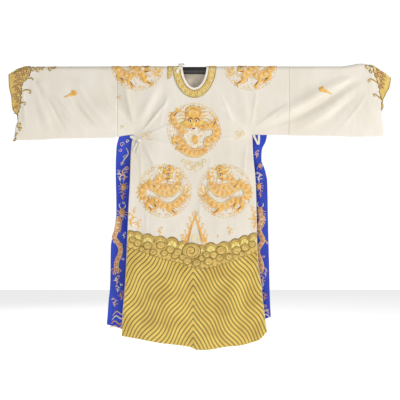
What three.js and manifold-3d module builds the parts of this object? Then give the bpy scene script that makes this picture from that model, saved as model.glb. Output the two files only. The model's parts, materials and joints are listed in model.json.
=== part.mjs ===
// A Chinese stage robe, hung on a straight rod that runs through its sleeves.
//
// Millimetres, +Z up. The front of the robe looks along -Y and +X is on the viewer's right.
// The origin is on the rod's axis, in the middle of the neck, where a stand or hook holds the rod.
// The cloth is cut as the real robe is: a front and a back that meet on the shoulder line,
// two tube sleeves, a round collar band with a plain rim, and a blue wing inside each side slit.

import * as THREE from "three";
import { mergeVertices } from "three/addons/utils/BufferGeometryUtils.js";
import Module from "manifold-3d";

const wasm = await Module();
wasm.setup();

// Driving sizes of the rod and the cloth.
const ROD_RADIUS = 18;
const ROD_LEFT = -828;
const ROD_RIGHT = 862;
const CLOTH = 1.6;
const EASE = 0.8;
const WRAP = ROD_RADIUS + EASE + CLOTH / 2;
const QUARTER_WRAP = (WRAP * Math.PI) / 2;
const LENGTH = 1390;
const SEAM_GAP = 0.6;

// Half the distance between front and back where they are sewn together under the sleeve.
const CLOSED = 1.1;
// How far from the underarm seam the cloth takes to open to its full depth.
const OPENING_REACH = 150;
// How far below the rod the folds take to reach their full depth.
const FOLD_START = 60;
// The stiff collar keeps the cloth smooth inside this half width and depth.
const CALM = { half: 140, down: 185, fade: 0.4 };

// The front's side edges below the underarm, seen from the front.
const BODY_SIDES = [
  { z: -321, left: -307, right: 289 },
  { z: -400, left: -317, right: 291 },
  { z: -550, left: -322, right: 304 },
  { z: -700, left: -330, right: 309 },
  { z: -880, left: -337, right: 313 },
  { z: -1080, left: -347, right: 334 },
  { z: -1200, left: -357, right: 347 },
  { z: -1310, left: -362, right: 363 },
];

// The curved hem of the front, with a small step at the centre seam and a clipped right corner.
const HEM = [
  { x: -362, z: -1324 },
  { x: -287, z: -1338 },
  { x: -160, z: -1360 },
  { x: -20, z: -1380 },
  { x: 15, z: -1393 },
  { x: 157, z: -1377 },
  { x: 302, z: -1352 },
  { x: 363, z: -1303 },
];

// The seam under each sleeve, from one cuff to the other.
const UNDERARM_SEAM = [
  { x: -935, z: -345 },
  { x: -855, z: -347 },
  { x: -660, z: -339 },
  { x: -420, z: -335 },
  { x: -307, z: -321 },
  { x: 289, z: -321 },
  { x: 470, z: -323 },
  { x: 670, z: -326 },
  { x: 835, z: -330 },
  { x: 985, z: -321 },
];

// The shoulder line: height of the centre of the turn over the rod, and the radius of that turn.
// Past the ends of the rod the cloth sinks and closes up.
const SHOULDER_LINE = [
  { x: -935, axis: -34, radius: 9 },
  { x: -900, axis: -16, radius: 13 },
  { x: -866, axis: -5, radius: 17 },
  { x: -829, axis: 0, radius: WRAP },
  { x: 720, axis: 0, radius: WRAP },
  { x: 788, axis: 8, radius: WRAP },
  { x: 830, axis: 14, radius: WRAP },
  { x: 866, axis: 9, radius: WRAP },
  { x: 930, axis: -16, radius: 14 },
  { x: 985, axis: -50, radius: 9 },
];

// The sleeves: where each is sewn on, and the cuff's edge from the top (0) to the seam (1).
const LEFT_SLEEVE = {
  seam: -385,
  cuff: [
    { down: 0, x: -927 },
    { down: 0.13, x: -926 },
    { down: 0.35, x: -913 },
    { down: 0.52, x: -907 },
    { down: 0.68, x: -882 },
    { down: 0.8, x: -892 },
    { down: 1, x: -902 },
  ],
};
const RIGHT_SLEEVE = {
  seam: 470,
  cuff: [
    { down: 0, x: 980 },
    { down: 0.12, x: 975 },
    { down: 0.3, x: 953 },
    { down: 0.52, x: 935 },
    { down: 0.7, x: 935 },
    { down: 0.86, x: 943 },
    { down: 1, x: 946 },
  ],
};

// Folds. Each runs from one point through another to a third, in the front view,
// with a half width and a depth that is positive towards the outside of the robe.
const FRONT_FOLDS = [
  { from: [-806, -25], via: [-742, -190], to: [-700, -345], width: 27, depth: 9 },
  { from: [-795, -30], via: [-705, -170], to: [-630, -340], width: 24, depth: -8 },
  { from: [-785, -50], via: [-650, -200], to: [-520, -330], width: 26, depth: 9 },
  { from: [-760, -60], via: [-610, -215], to: [-400, -318], width: 24, depth: -7 },
  { from: [-310, -312], via: [-420, -200], to: [-590, -40], width: 24, depth: 6 },
  { from: [-312, -305], via: [-370, -170], to: [-450, -20], width: 22, depth: -5 },
  { from: [-300, -310], via: [-318, -160], to: [-370, -10], width: 22, depth: 5 },
  { from: [-290, -312], via: [-240, -175], to: [-160, -20], width: 24, depth: 6 },
  { from: [-275, -300], via: [-205, -190], to: [-125, -60], width: 22, depth: -5 },
  { from: [-290, -345], via: [-225, -425], to: [-160, -520], width: 24, depth: 5 },
  { from: [870, 30], via: [640, -110], to: [285, -300], width: 28, depth: 11 },
  { from: [860, -20], via: [650, -165], to: [320, -316], width: 24, depth: -10 },
  { from: [845, -50], via: [680, -195], to: [480, -318], width: 26, depth: 9 },
  { from: [820, -90], via: [690, -240], to: [570, -325], width: 24, depth: -7 },
  { from: [285, -312], via: [245, -180], to: [205, -40], width: 26, depth: 5 },
  { from: [268, -305], via: [195, -200], to: [120, -120], width: 24, depth: -4 },
  { from: [105, -520], via: [120, -700], to: [112, -920], width: 34, depth: 5 },
  { from: [45, -640], via: [72, -1150], to: [55, -1800], width: 42, depth: 8 },
  { from: [-32, -760], via: [-25, -1150], to: [-35, -1800], width: 34, depth: -7 },
  { from: [-195, -620], via: [-180, -1150], to: [-195, -1800], width: 52, depth: 7 },
  { from: [-290, -760], via: [-275, -1200], to: [-285, -1800], width: 40, depth: -5 },
  { from: [190, -600], via: [182, -1150], to: [205, -1800], width: 52, depth: 8 },
  { from: [280, -700], via: [285, -1150], to: [300, -1800], width: 40, depth: -6 },
];
const BACK_FOLDS = [
  { from: [-800, -30], via: [-680, -190], to: [-520, -335], width: 34, depth: 9 },
  { from: [-780, -60], via: [-600, -220], to: [-360, -318], width: 30, depth: -7 },
  { from: [-305, -312], via: [-270, -160], to: [-200, -20], width: 30, depth: 6 },
  { from: [840, -20], via: [690, -180], to: [500, -318], width: 34, depth: 9 },
  { from: [815, -60], via: [600, -220], to: [350, -316], width: 30, depth: -7 },
  { from: [285, -312], via: [250, -160], to: [190, -20], width: 30, depth: 6 },
  { from: [-150, -520], via: [-150, -1100], to: [-160, -1800], width: 50, depth: 8 },
  { from: [-40, -620], via: [-35, -1150], to: [-50, -1800], width: 48, depth: -7 },
  { from: [75, -560], via: [70, -1150], to: [80, -1800], width: 50, depth: 8 },
  { from: [165, -640], via: [165, -1150], to: [170, -1800], width: 44, depth: -6 },
];

// How quickly a fold fades towards the ends of its line: 1 is a plain half wave.
const FOLD_FADING = 0.6;

const FRONT = { sign: -1, folds: FRONT_FOLDS, swing: 12, sideInset: 0, hemLift: 0 };
const BACK = { sign: 1, folds: BACK_FOLDS, swing: 10, sideInset: 9, hemLift: 14 };

// The round neck. Half width, depth at the front and depth at the back,
// measured over the cloth from the shoulder line.
const NECK_CUT = { half: 66, front: 125, back: 33 };
const CUTTER_MARGIN = 10;
const CUTTER_REACH = 80;
const RIM_INNER = { half: 60, front: 118, back: 27 };
const RIM_OUTER = { half: 72.6, front: 131, back: 39.6 };
const BAND_INNER = { half: 73, front: 131.5, back: 40 };
const BAND_OUTER = { half: 110, front: 168.5, back: 77 };
const BAND_THICKNESS = 1.5;
const BAND_CLEARANCE = 0.45;
// The band's short end beside the collar, from back to front over the cloth.
const TAB = { left: -134, right: -113.5, back: -46, leftEnd: 78, rightEnd: 62, drop: 4, columns: 2 };

// The wings in the side slits: outer edge, inner edge and lower edge of each.
const WING_THICKNESS = 1.2;
const WING_SEAM_GAP = 0.7;
const WING_TOP_GAP = 4.5;
const WING_OUTER_DEPTH = 4;
const LEFT_WING = {
  outer: [
    { z: -330, x: -377 },
    { z: -400, x: -391 },
    { z: -520, x: -394 },
    { z: -680, x: -391 },
    { z: -757, x: -394 },
    { z: -840, x: -413 },
    { z: -900, x: -419 },
    { z: -1037, x: -421 },
    { z: -1157, x: -430 },
    { z: -1270, x: -439 },
  ],
  inner: [
    { z: -330, x: -284 },
    { z: -800, x: -290 },
    { z: -1310, x: -300 },
  ],
  hemOuter: -1270,
  hemInner: -1315,
  crumple: { from: [-420, -640], via: [-385, -760], to: [-330, -860], width: 26, depth: 4 },
};
const RIGHT_WING = {
  outer: [
    { z: -322, x: 363 },
    { z: -357, x: 355 },
    { z: -400, x: 337 },
    { z: -445, x: 335 },
    { z: -480, x: 346 },
    { z: -520, x: 358 },
    { z: -560, x: 364 },
    { z: -720, x: 367 },
    { z: -960, x: 373 },
    { z: -1157, x: 378 },
    { z: -1232, x: 382 },
  ],
  inner: [
    { z: -322, x: 268 },
    { z: -800, x: 262 },
    { z: -1290, x: 272 },
  ],
  hemOuter: -1232,
  hemInner: -1275,
  crumple: { from: [370, -500], via: [325, -468], to: [270, -455], width: 20, depth: 5 },
};

// Ties of the robe's own cloth. On the collar, down is measured over the cloth and is negative.
const TIE_THICKNESS = 1.4;
const TIE_CLEARANCE = 0.5;
// Near the underarm the panel bends, so what lies on it there stands a little further off.
const UNDERARM_EASE = 0.7;
const UNDERARM_TIE = {
  width: 11,
  band: [
    { x: -322, z: -331 },
    { x: -306, z: -336 },
    { x: -289, z: -345 },
  ],
  longTail: [
    { x: -284, z: -362 },
    { x: -294, z: -380 },
    { x: -306, z: -398 },
  ],
  shortTail: [
    { x: -271, z: -364 },
    { x: -278, z: -386 },
    { x: -287, z: -416 },
  ],
};
const UNDERARM_KNOT = { x: -277, z: -351, loop: 5.2, cord: 2.4, flat: 0.75 };
const COLLAR_TIE = {
  width: 13,
  path: [
    { x: -72, z: -12 },
    { x: -80, z: -26 },
    { x: -90, z: -44 },
  ],
};
const COLLAR_KNOT = { x: -68, loop: 9.5, cord: 3.6, flat: 0.75, lean: 0.3 };
const LOOP = {
  width: 11,
  steps: 22,
  path: [
    { x: 297, y: -2.2, z: -323 },
    { x: 299, y: -5, z: -331 },
    { x: 307, y: -6.4, z: -348 },
    { x: 315, y: -6.2, z: -365 },
    { x: 318, y: -4.6, z: -371 },
    { x: 320, y: -3.2, z: -365 },
    { x: 322, y: -3, z: -345 },
    { x: 322, y: -2.2, z: -323 },
  ],
};

// Grid steps.
const WRAP_STEPS = 4;
const UPPER_ROWS = 11;
const SKIRT_ROWS = 18;
// The skirt's rows lie closer together near the underarm, where the cloth bends most.
const ROW_CROWDING = 1.4;
const PANEL_COLUMNS = { leftArm: 3, body: 22, rightArm: 7 };
const BACK_ROWS = { upper: 8, skirt: 13 };
const BACK_COLUMNS = { leftArm: 2, body: 16, rightArm: 5 };
const SLEEVE_STEPS = 19;
const SLEEVE_ROWS = 11;
const WING_COLUMNS = 4;
const WING_ROWS = 20;
const TIE_STEPS = 8;
const NECK_CUT_STEPS = 24;
const RING_TURN_STEPS = 8;
const RING_ROUND_STEPS = { front: 10, back: 6 };
const FOLD_PIECES = 6;

// Small helpers.
const clamp = (t) => Math.min(1, Math.max(0, t));
const smooth = (t) => clamp(t) ** 2 * (3 - 2 * clamp(t));
const lerp = (a, b, t) => a + (b - a) * t;

// The value of one column of a table at a place along another column. The key may rise or fall
// down the table. Between two rows the curve blends the lines through them, each with a slope
// that is flat at a peak, so that the curve doesn't swing past the rows.
function fromTable(rows, key, value, at) {
  const rising = rows[rows.length - 1][key] > rows[0][key];
  const list = rising ? rows : [...rows].reverse();
  const last = list.length - 1;
  if (at <= list[0][key]) return list[0][value];
  if (at >= list[last][key]) return list[last][value];
  const rise = (i) => (list[i + 1][value] - list[i][value]) / (list[i + 1][key] - list[i][key]);
  const slope = (i) => {
    if (i === 0) return rise(0);
    if (i === last) return rise(last - 1);
    const [before, after] = [rise(i - 1), rise(i)];
    return before * after > 0 ? (2 * before * after) / (before + after) : 0;
  };
  let i = 0;
  while (list[i + 1][key] < at) i += 1;
  const t = (at - list[i][key]) / (list[i + 1][key] - list[i][key]);
  const fromStart = list[i][value] + slope(i) * (at - list[i][key]);
  const fromEnd = list[i + 1][value] + slope(i + 1) * (at - list[i + 1][key]);
  return lerp(fromStart, fromEnd, smooth(t));
}

// A point of the curve that a fold's line follows, at a share of its way.
function foldLine({ from, via, to }, t) {
  const bend = (i) => lerp(lerp(from[i], via[i], t), lerp(via[i], to[i], t), t);
  return { x: bend(0), z: bend(1) };
}

// How far all the folds of one side push the cloth out at a point of the front view. A fold is
// as deep as a bell curve over the distance from its line, and fades out at the line's ends.
function foldShift(folds, x, z) {
  let shift = 0;
  for (const fold of folds) {
    let nearest = Infinity;
    let place = 0;
    for (let i = 0; i < FOLD_PIECES; i += 1) {
      const start = foldLine(fold, i / FOLD_PIECES);
      const end = foldLine(fold, (i + 1) / FOLD_PIECES);
      const [dx, dz] = [end.x - start.x, end.z - start.z];
      const along = clamp(((x - start.x) * dx + (z - start.z) * dz) / (dx * dx + dz * dz));
      const distance = Math.hypot(x - start.x - along * dx, z - start.z - along * dz);
      if (distance < nearest) {
        nearest = distance;
        place = (i + along) / FOLD_PIECES;
      }
    }
    const fading = Math.sin(Math.PI * place) ** FOLD_FADING;
    shift += fold.depth * fading * Math.exp(-((nearest / fold.width) ** 2));
  }
  return shift;
}

// Distance in the front view from the seam that joins front and back: straight up from the seam
// along a sleeve, and from the nearer underarm within the body, whose sides are slit below it.
const leftUnderarm = BODY_SIDES[0].left;
const rightUnderarm = BODY_SIDES[0].right;
const underarmHeight = BODY_SIDES[0].z;
function distanceToSeam(x, z) {
  const height = z - fromTable(UNDERARM_SEAM, "x", "z", x);
  if ((x < leftUnderarm || x > rightUnderarm) && height >= 0) return height;
  const fromLeft = Math.hypot(x - leftUnderarm, z - underarmHeight);
  const fromRight = Math.hypot(x - rightUnderarm, z - underarmHeight);
  return Math.min(fromLeft, fromRight);
}

// Distance of the middle of the cloth from the plane of the rod, below the turn over the rod.
function halfDepth(side, x, z) {
  const turn = fromTable(SHOULDER_LINE, "x", "radius", x);
  const axis = fromTable(SHOULDER_LINE, "x", "axis", x);
  const away = clamp(distanceToSeam(x, z) / OPENING_REACH);
  const open = Math.sin((Math.PI / 2) * away);
  const swing = side.swing * smooth(-z / LENGTH);
  const beyondCollar = Math.hypot(x / CALM.half, z / CALM.down) - 1;
  const belowRod = Math.min(axis, 0) - ROD_RADIUS - z;
  const fade = smooth(belowRod / FOLD_START) * smooth(beyondCollar / CALM.fade) * open;
  const plain = CLOSED + (turn + swing - CLOSED) * open;
  return Math.max(CLOSED, plain + foldShift(side.folds, x, z) * fade);
}

// A point in the middle of the cloth, from its distance down over the shoulder line.
function clothPoint(side, x, along) {
  const angle = along / WRAP;
  if (along <= QUARTER_WRAP) {
    return new THREE.Vector3(x, side.sign * WRAP * Math.sin(angle), WRAP * Math.cos(angle));
  }
  const z = QUARTER_WRAP - along;
  return new THREE.Vector3(x, side.sign * halfDepth(side, x, z), z);
}

// The same point moved out from the cloth's middle. Negative distances along run down the back.
function liftedPoint(x, along, lift) {
  const at = (px, s) => clothPoint(s < 0 ? BACK : FRONT, px, Math.abs(s));
  const step = 0.5;
  const acrossways = at(x + step, along).sub(at(x - step, along));
  const downwards = at(x, along + step).sub(at(x, along - step));
  const normal = acrossways.cross(downwards).normalize().negate();
  return at(x, along).addScaledVector(normal, lift);
}

// A closed wall of even thickness round a grid of points. Rows may close on themselves,
// and cells may be left out, so the same function makes panels, tubes and rings.
function wall(points, thickness, { closed = false, keep = () => true } = {}) {
  const rows = points.length;
  const columns = points[0].length;
  const lastColumn = closed ? columns : columns - 1;
  const cells = [];
  for (let r = 0; r < rows - 1; r += 1) {
    for (let c = 0; c < lastColumn; c += 1) {
      if (!keep(r, c)) continue;
      const next = (c + 1) % columns;
      cells.push([r * columns + c, (r + 1) * columns + c, (r + 1) * columns + next, r * columns + next]);
    }
  }
  const flat = points.flat();
  const normals = flat.map(() => new THREE.Vector3());
  const uses = new Set();
  for (const [a, b, c, d] of cells) {
    const diagonal = flat[c].clone().sub(flat[a]);
    const other = flat[d].clone().sub(flat[b]);
    const normal = diagonal.cross(other);
    for (const corner of [a, b, c, d]) normals[corner].add(normal);
    for (const [from, to] of [[a, b], [b, c], [c, d], [d, a]]) uses.add(`${from},${to}`);
  }
  const positions = [];
  for (const half of [thickness / 2, -thickness / 2]) {
    flat.forEach((point, i) => {
      const moved = point.clone().addScaledVector(normals[i].clone().normalize(), half);
      positions.push(moved.x, moved.y, moved.z);
    });
  }
  const triangles = [];
  const quad = (a, b, c, d) => triangles.push(a, b, c, a, c, d);
  const inner = flat.length;
  // Both faces of a cell are split along the same diagonal, so that a warped cell stays as thick.
  for (const [a, b, c, d] of cells) {
    quad(a, b, c, d);
    quad(inner + a, inner + d, inner + c, inner + b);
    for (const [from, to] of [[a, b], [b, c], [c, d], [d, a]]) {
      if (!uses.has(`${to},${from}`)) quad(to, from, inner + from, inner + to);
    }
  }
  const geometry = new THREE.BufferGeometry();
  geometry.setAttribute("position", new THREE.Float32BufferAttribute(positions, 3));
  geometry.setIndex(triangles);
  return facingOut(geometry);
}

// Drops unused points and turns the faces round if they point inwards.
function facingOut(geometry) {
  const merged = mergeVertices(geometry, 1e-4);
  const used = merged.toNonIndexed();
  const place = used.getAttribute("position");
  let volume = 0;
  const [a, b, c] = [new THREE.Vector3(), new THREE.Vector3(), new THREE.Vector3()];
  for (let i = 0; i < place.count; i += 3) {
    a.fromBufferAttribute(place, i);
    b.fromBufferAttribute(place, i + 1);
    c.fromBufferAttribute(place, i + 2);
    volume += a.dot(b.cross(c));
  }
  const clean = mergeVertices(used, 1e-4);
  if (volume < 0) {
    const index = clean.getIndex();
    for (let i = 0; i < index.count; i += 3) {
      const first = index.getX(i);
      index.setX(i, index.getX(i + 1));
      index.setX(i + 1, first);
    }
  }
  return clean;
}

// Solids for cutting.
function solidFrom(geometry) {
  const bare = geometry.clone();
  bare.deleteAttribute("normal");
  bare.deleteAttribute("uv");
  const merged = mergeVertices(bare, 1e-4);
  return new wasm.Manifold(
    new wasm.Mesh({
      numProp: 3,
      vertProperties: merged.getAttribute("position").array,
      triVerts: new Uint32Array(merged.getIndex().array),
    }),
  );
}

function geometryFrom(solid) {
  const { vertProperties, triVerts } = solid.getMesh();
  const geometry = new THREE.BufferGeometry();
  geometry.setAttribute("position", new THREE.BufferAttribute(new Float32Array(vertProperties), 3));
  geometry.setIndex(new THREE.BufferAttribute(new Uint32Array(triVerts), 1));
  return geometry;
}

// The neck hole as a cutter for one side: the neck curve laid over the shoulder and seen from the front.
function neckCutter(side) {
  const deep = side === FRONT ? NECK_CUT.front : NECK_CUT.back;
  const top = WRAP + CUTTER_MARGIN;
  const outline = new THREE.Shape();
  outline.moveTo(-NECK_CUT.half, top);
  for (let i = 0; i <= NECK_CUT_STEPS; i += 1) {
    const turn = (Math.PI * i) / NECK_CUT_STEPS;
    outline.lineTo(-NECK_CUT.half * Math.cos(turn), clothPoint(side, 0, deep * Math.sin(turn)).z);
  }
  outline.lineTo(NECK_CUT.half, top);
  const prism = new THREE.ExtrudeGeometry(outline, { depth: CUTTER_REACH, bevelEnabled: false });
  prism.rotateX(Math.PI / 2);
  if (side === BACK) prism.translate(0, CUTTER_REACH, 0);
  return prism;
}

// The front or the back: sleeves' inner ends and body in one T-shaped wall, with its neck cut out.
function bodyPanel(side, columns, upperRows, skirtRows) {
  const places = [];
  const spread = (from, to, count) => {
    for (let i = 0; i < count; i += 1) places.push(lerp(from, to, i / count));
  };
  spread(LEFT_SLEEVE.seam, leftUnderarm, columns.leftArm);
  spread(leftUnderarm, rightUnderarm, columns.body);
  spread(rightUnderarm, RIGHT_SLEEVE.seam, columns.rightArm);
  places.push(RIGHT_SLEEVE.seam);
  const points = [];
  const shoulderGap = SEAM_GAP / 2;
  for (let r = 0; r < WRAP_STEPS; r += 1) {
    const along = lerp(shoulderGap, QUARTER_WRAP, r / WRAP_STEPS);
    points.push(places.map((x) => clothPoint(side, x, along)));
  }
  for (let r = 0; r <= upperRows; r += 1) {
    points.push(
      places.map((x) => {
        const bottom = fromTable(UNDERARM_SEAM, "x", "z", x);
        const z = (bottom * r) / upperRows;
        return clothPoint(side, x, QUARTER_WRAP - z);
      }),
    );
  }
  const firstBody = columns.leftArm;
  const lastBody = columns.leftArm + columns.body;
  for (let r = 1; r <= skirtRows; r += 1) {
    points.push(
      places.map((x, c) => {
        const across = clamp((c - firstBody) / columns.body);
        const hemX = lerp(HEM[0].x, HEM[HEM.length - 1].x, across);
        const hemZ = fromTable(HEM, "x", "z", hemX) + side.hemLift;
        const z = lerp(underarmHeight, hemZ, (r / skirtRows) ** ROW_CROWDING);
        const inset = side.sideInset * smooth((underarmHeight - z) / 100);
        const left = fromTable(BODY_SIDES, "z", "left", z) + inset;
        const right = fromTable(BODY_SIDES, "z", "right", z) - inset;
        const px = lerp(left, right, across);
        return new THREE.Vector3(px, side.sign * halfDepth(side, px, z), z);
      }),
    );
  }
  const lastUpper = WRAP_STEPS + upperRows;
  const sheet = wall(points, CLOTH, {
    keep: (r, c) => r < lastUpper || (c >= firstBody && c < lastBody),
  });
  return geometryFrom(solidFrom(sheet).subtract(solidFrom(neckCutter(side))));
}

// A sleeve: rings round the rod from the shoulder seam to the cuff, closed along the bottom seam.
function sleeve(shape) {
  const ring = [];
  for (let i = 0; i < WRAP_STEPS; i += 1) ring.push({ side: FRONT, turn: i / WRAP_STEPS });
  for (let i = 0; i <= SLEEVE_ROWS; i += 1) ring.push({ side: FRONT, down: i / SLEEVE_ROWS });
  ring.push({ bottom: true });
  for (let i = SLEEVE_ROWS; i >= 0; i -= 1) ring.push({ side: BACK, down: i / SLEEVE_ROWS });
  for (let i = WRAP_STEPS - 1; i > 0; i -= 1) ring.push({ side: BACK, turn: i / WRAP_STEPS });
  const start = shape.seam + Math.sign(shape.seam) * SEAM_GAP;
  const points = [];
  for (let step = 0; step <= SLEEVE_STEPS; step += 1) {
    points.push(
      ring.map(({ side, turn, down, bottom }) => {
        const level = bottom ? 1 : down ?? 0;
        const x = lerp(start, fromTable(shape.cuff, "down", "x", level), step / SLEEVE_STEPS);
        const axis = fromTable(SHOULDER_LINE, "x", "axis", x);
        const radius = fromTable(SHOULDER_LINE, "x", "radius", x);
        const seam = fromTable(UNDERARM_SEAM, "x", "z", x);
        if (bottom) return new THREE.Vector3(x, 0, seam - CLOSED);
        if (turn !== undefined) {
          const angle = (turn * Math.PI) / 2;
          return new THREE.Vector3(x, side.sign * radius * Math.sin(angle), axis + radius * Math.cos(angle));
        }
        const z = lerp(axis, seam, down);
        return new THREE.Vector3(x, side.sign * halfDepth(side, x, z), z);
      }),
    );
  }
  return wall(points, CLOTH, { closed: true });
}

// A ring laid on the cloth round the neck, between two neck curves.
function neckRing(inner, outer, thickness, radialSteps) {
  const turns = [];
  for (const end of ["front", "back"]) {
    const steps = RING_ROUND_STEPS[end];
    const deep = (inner[end] + outer[end]) / 2;
    const quarter = [];
    for (let i = 0; i < RING_TURN_STEPS; i += 1) {
      quarter.push(Math.asin(clamp((QUARTER_WRAP * i) / RING_TURN_STEPS / deep)));
    }
    const started = Math.asin(clamp(QUARTER_WRAP / deep));
    for (let i = 0; i <= steps; i += 1) quarter.push(lerp(started, Math.PI / 2, i / steps));
    const half = [...quarter, ...quarter.slice(0, -1).reverse().map((a) => Math.PI - a)];
    half.pop();
    turns.push(...half.map((angle) => (end === "front" ? angle : angle + Math.PI)));
  }
  const lift = CLOTH / 2 + BAND_CLEARANCE + thickness / 2;
  const points = [];
  for (let r = 0; r <= radialSteps; r += 1) {
    const t = r / radialSteps;
    points.push(
      turns.map((angle) => {
        const end = Math.sin(angle) >= 0 ? "front" : "back";
        const x = lerp(inner.half, outer.half, t) * Math.cos(angle);
        const along = lerp(inner[end], outer[end], t) * Math.sin(angle);
        return liftedPoint(x, along, lift);
      }),
    );
  }
  return wall(points, thickness, { closed: true });
}

// The short end of the collar band that laps over the shoulder beside it, with a slanting lower edge.
// Over the rod its rows lie on the panel's own rows.
function collarTab() {
  const points = [];
  const lift = CLOTH / 2 + BAND_CLEARANCE + BAND_THICKNESS / 2;
  for (let r = -WRAP_STEPS - 1; r <= WRAP_STEPS + TAB.drop; r += 1) {
    const row = [];
    for (let c = 0; c <= TAB.columns; c += 1) {
      const t = c / TAB.columns;
      const end = lerp(TAB.leftEnd, TAB.rightEnd, t);
      let along = (QUARTER_WRAP * r) / WRAP_STEPS;
      if (r < -WRAP_STEPS) along = TAB.back;
      if (r > WRAP_STEPS) along = lerp(QUARTER_WRAP, end, (r - WRAP_STEPS) / TAB.drop);
      row.push(liftedPoint(lerp(TAB.left, TAB.right, t), along, lift));
    }
    points.push(row);
  }
  return wall(points, BAND_THICKNESS);
}

// A wing: a flat panel that hangs from the underarm seam, sewn to the inside of the back
// along its inner edge.
function wing(shape) {
  const points = [];
  const ends = [shape.inner[0].x, shape.outer[0].x];
  for (let r = 0; r <= WING_ROWS; r += 1) {
    const row = [];
    for (let c = 0; c <= WING_COLUMNS; c += 1) {
      const across = c / WING_COLUMNS;
      const top = fromTable(UNDERARM_SEAM, "x", "z", lerp(...ends, across)) - WING_TOP_GAP;
      const end = lerp(shape.hemInner, shape.hemOuter, across);
      const z = lerp(top, end, r / WING_ROWS);
      const inner = fromTable(shape.inner, "z", "x", z);
      const outer = fromTable(shape.outer, "z", "x", z);
      const x = lerp(inner, outer, across);
      const sewn = halfDepth(BACK, inner, z) - CLOTH / 2 - WING_SEAM_GAP - WING_THICKNESS / 2;
      const down = smooth((top - 12 - z) / 150);
      const ripple = foldShift([shape.crumple], x, z);
      row.push(new THREE.Vector3(x, down * lerp(sewn, WING_OUTER_DEPTH, across) - ripple * across * down, z));
    }
    points.push(row);
  }
  return wall(points, WING_THICKNESS);
}

// A flat tie laid along points of the front view, its width square to its path.
// The place function gives the point in space for a point of the front view.
function tie(path, width, place) {
  const curve = new THREE.SplineCurve(path.map(({ x, z }) => new THREE.Vector2(x, z)));
  const points = [];
  for (let i = 0; i <= TIE_STEPS; i += 1) {
    const centre = curve.getPoint(i / TIE_STEPS);
    const along = curve.getTangent(i / TIE_STEPS);
    points.push(
      [width / 2, -width / 2].map((side) => place(centre.x - along.y * side, centre.y + along.x * side)),
    );
  }
  return wall(points, TIE_THICKNESS);
}

// A tie folded over at its lowest point, its width kept level, hanging from the underarm seam.
function hangingLoop() {
  const curve = new THREE.CatmullRomCurve3(LOOP.path.map(({ x, y, z }) => new THREE.Vector3(x, y, z)));
  const halfWidth = new THREE.Vector3(LOOP.width / 2, 0, 0);
  const points = curve.getPoints(LOOP.steps).map((point) => [
    point.clone().sub(halfWidth),
    point.clone().add(halfWidth),
  ]);
  return wall(points, TIE_THICKNESS);
}

// A knot of cloth cord, flattened in depth. It is made round its own middle.
function knot({ loop, cord, flat }) {
  const shape = new THREE.TorusKnotGeometry(loop, cord, 40, 6, 2, 3);
  shape.scale(1, 1, flat);
  shape.computeBoundingBox();
  return shape;
}

// The collar's knot stands on the band, above the shoulder line.
function collarKnot() {
  const shape = knot(COLLAR_KNOT);
  const seat = WRAP + CLOTH / 2 + BAND_CLEARANCE + BAND_THICKNESS + TIE_CLEARANCE;
  shape.translate(0, 0, seat - shape.boundingBox.min.z);
  shape.rotateX(COLLAR_KNOT.lean);
  shape.translate(COLLAR_KNOT.x, 0, 0);
  return shape;
}

// The underarm knot lies on the front.
function underarmKnot() {
  const shape = knot(UNDERARM_KNOT);
  shape.rotateX(Math.PI / 2);
  shape.computeBoundingBox();
  const { x, z } = UNDERARM_KNOT;
  const deepest = Math.max(...[-1, 0, 1].map((step) => halfDepth(FRONT, x + step * UNDERARM_KNOT.loop, z)));
  shape.translate(x, -deepest - CLOTH / 2 - TIE_CLEARANCE - shape.boundingBox.max.y, z);
  return shape;
}

// Places for ties: on the front panel, and on the collar band.
const tieLift = CLOTH / 2 + TIE_CLEARANCE + TIE_THICKNESS / 2;
const onFront = (x, z) => liftedPoint(x, QUARTER_WRAP - z, tieLift + UNDERARM_EASE);
const onCollar = (x, down) => liftedPoint(x, -down, tieLift + BAND_CLEARANCE + BAND_THICKNESS);

// The part: every piece with its own colour.
const satin = new THREE.Color(0.86, 0.82, 0.74);
const gold = new THREE.Color(0.8, 0.62, 0.27);
const blue = new THREE.Color(0.07, 0.13, 0.55);
const black = new THREE.Color(0.03, 0.03, 0.03);
const cloth = (color, roughness) => new THREE.MeshStandardMaterial({ color, roughness, metalness: 0 });

const robe = new THREE.Group();
function add(name, geometry, material) {
  const mesh = new THREE.Mesh(geometry, material);
  mesh.name = name;
  robe.add(mesh);
  return mesh;
}

const rodShape = new THREE.CylinderGeometry(ROD_RADIUS, ROD_RADIUS, ROD_RIGHT - ROD_LEFT, 24);
rodShape.rotateZ(Math.PI / 2);
const rod = add("rod", rodShape, cloth(black, 0.4));
rod.position.x = (ROD_LEFT + ROD_RIGHT) / 2;

add("front", bodyPanel(FRONT, PANEL_COLUMNS, UPPER_ROWS, SKIRT_ROWS), cloth(satin, 0.5));
add("back", bodyPanel(BACK, BACK_COLUMNS, BACK_ROWS.upper, BACK_ROWS.skirt), cloth(satin, 0.5));
add("sleeve_left", sleeve(LEFT_SLEEVE), cloth(satin, 0.5));
add("sleeve_right", sleeve(RIGHT_SLEEVE), cloth(satin, 0.5));
add("collar_rim", neckRing(RIM_INNER, RIM_OUTER, BAND_THICKNESS, 3), cloth(satin, 0.5));
add("collar_band", neckRing(BAND_INNER, BAND_OUTER, BAND_THICKNESS, 5), cloth(gold, 0.45));
add("collar_tab", collarTab(), cloth(gold, 0.45));
add("collar_knot", collarKnot(), cloth(satin, 0.6));
add("collar_tie", tie(COLLAR_TIE.path, COLLAR_TIE.width, onCollar), cloth(satin, 0.6));
add("underarm_tie_band", tie(UNDERARM_TIE.band, UNDERARM_TIE.width, onFront), cloth(satin, 0.6));
add("underarm_tie_long", tie(UNDERARM_TIE.longTail, UNDERARM_TIE.width, onFront), cloth(satin, 0.6));
add("underarm_tie_short", tie(UNDERARM_TIE.shortTail, UNDERARM_TIE.width, onFront), cloth(satin, 0.6));
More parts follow.
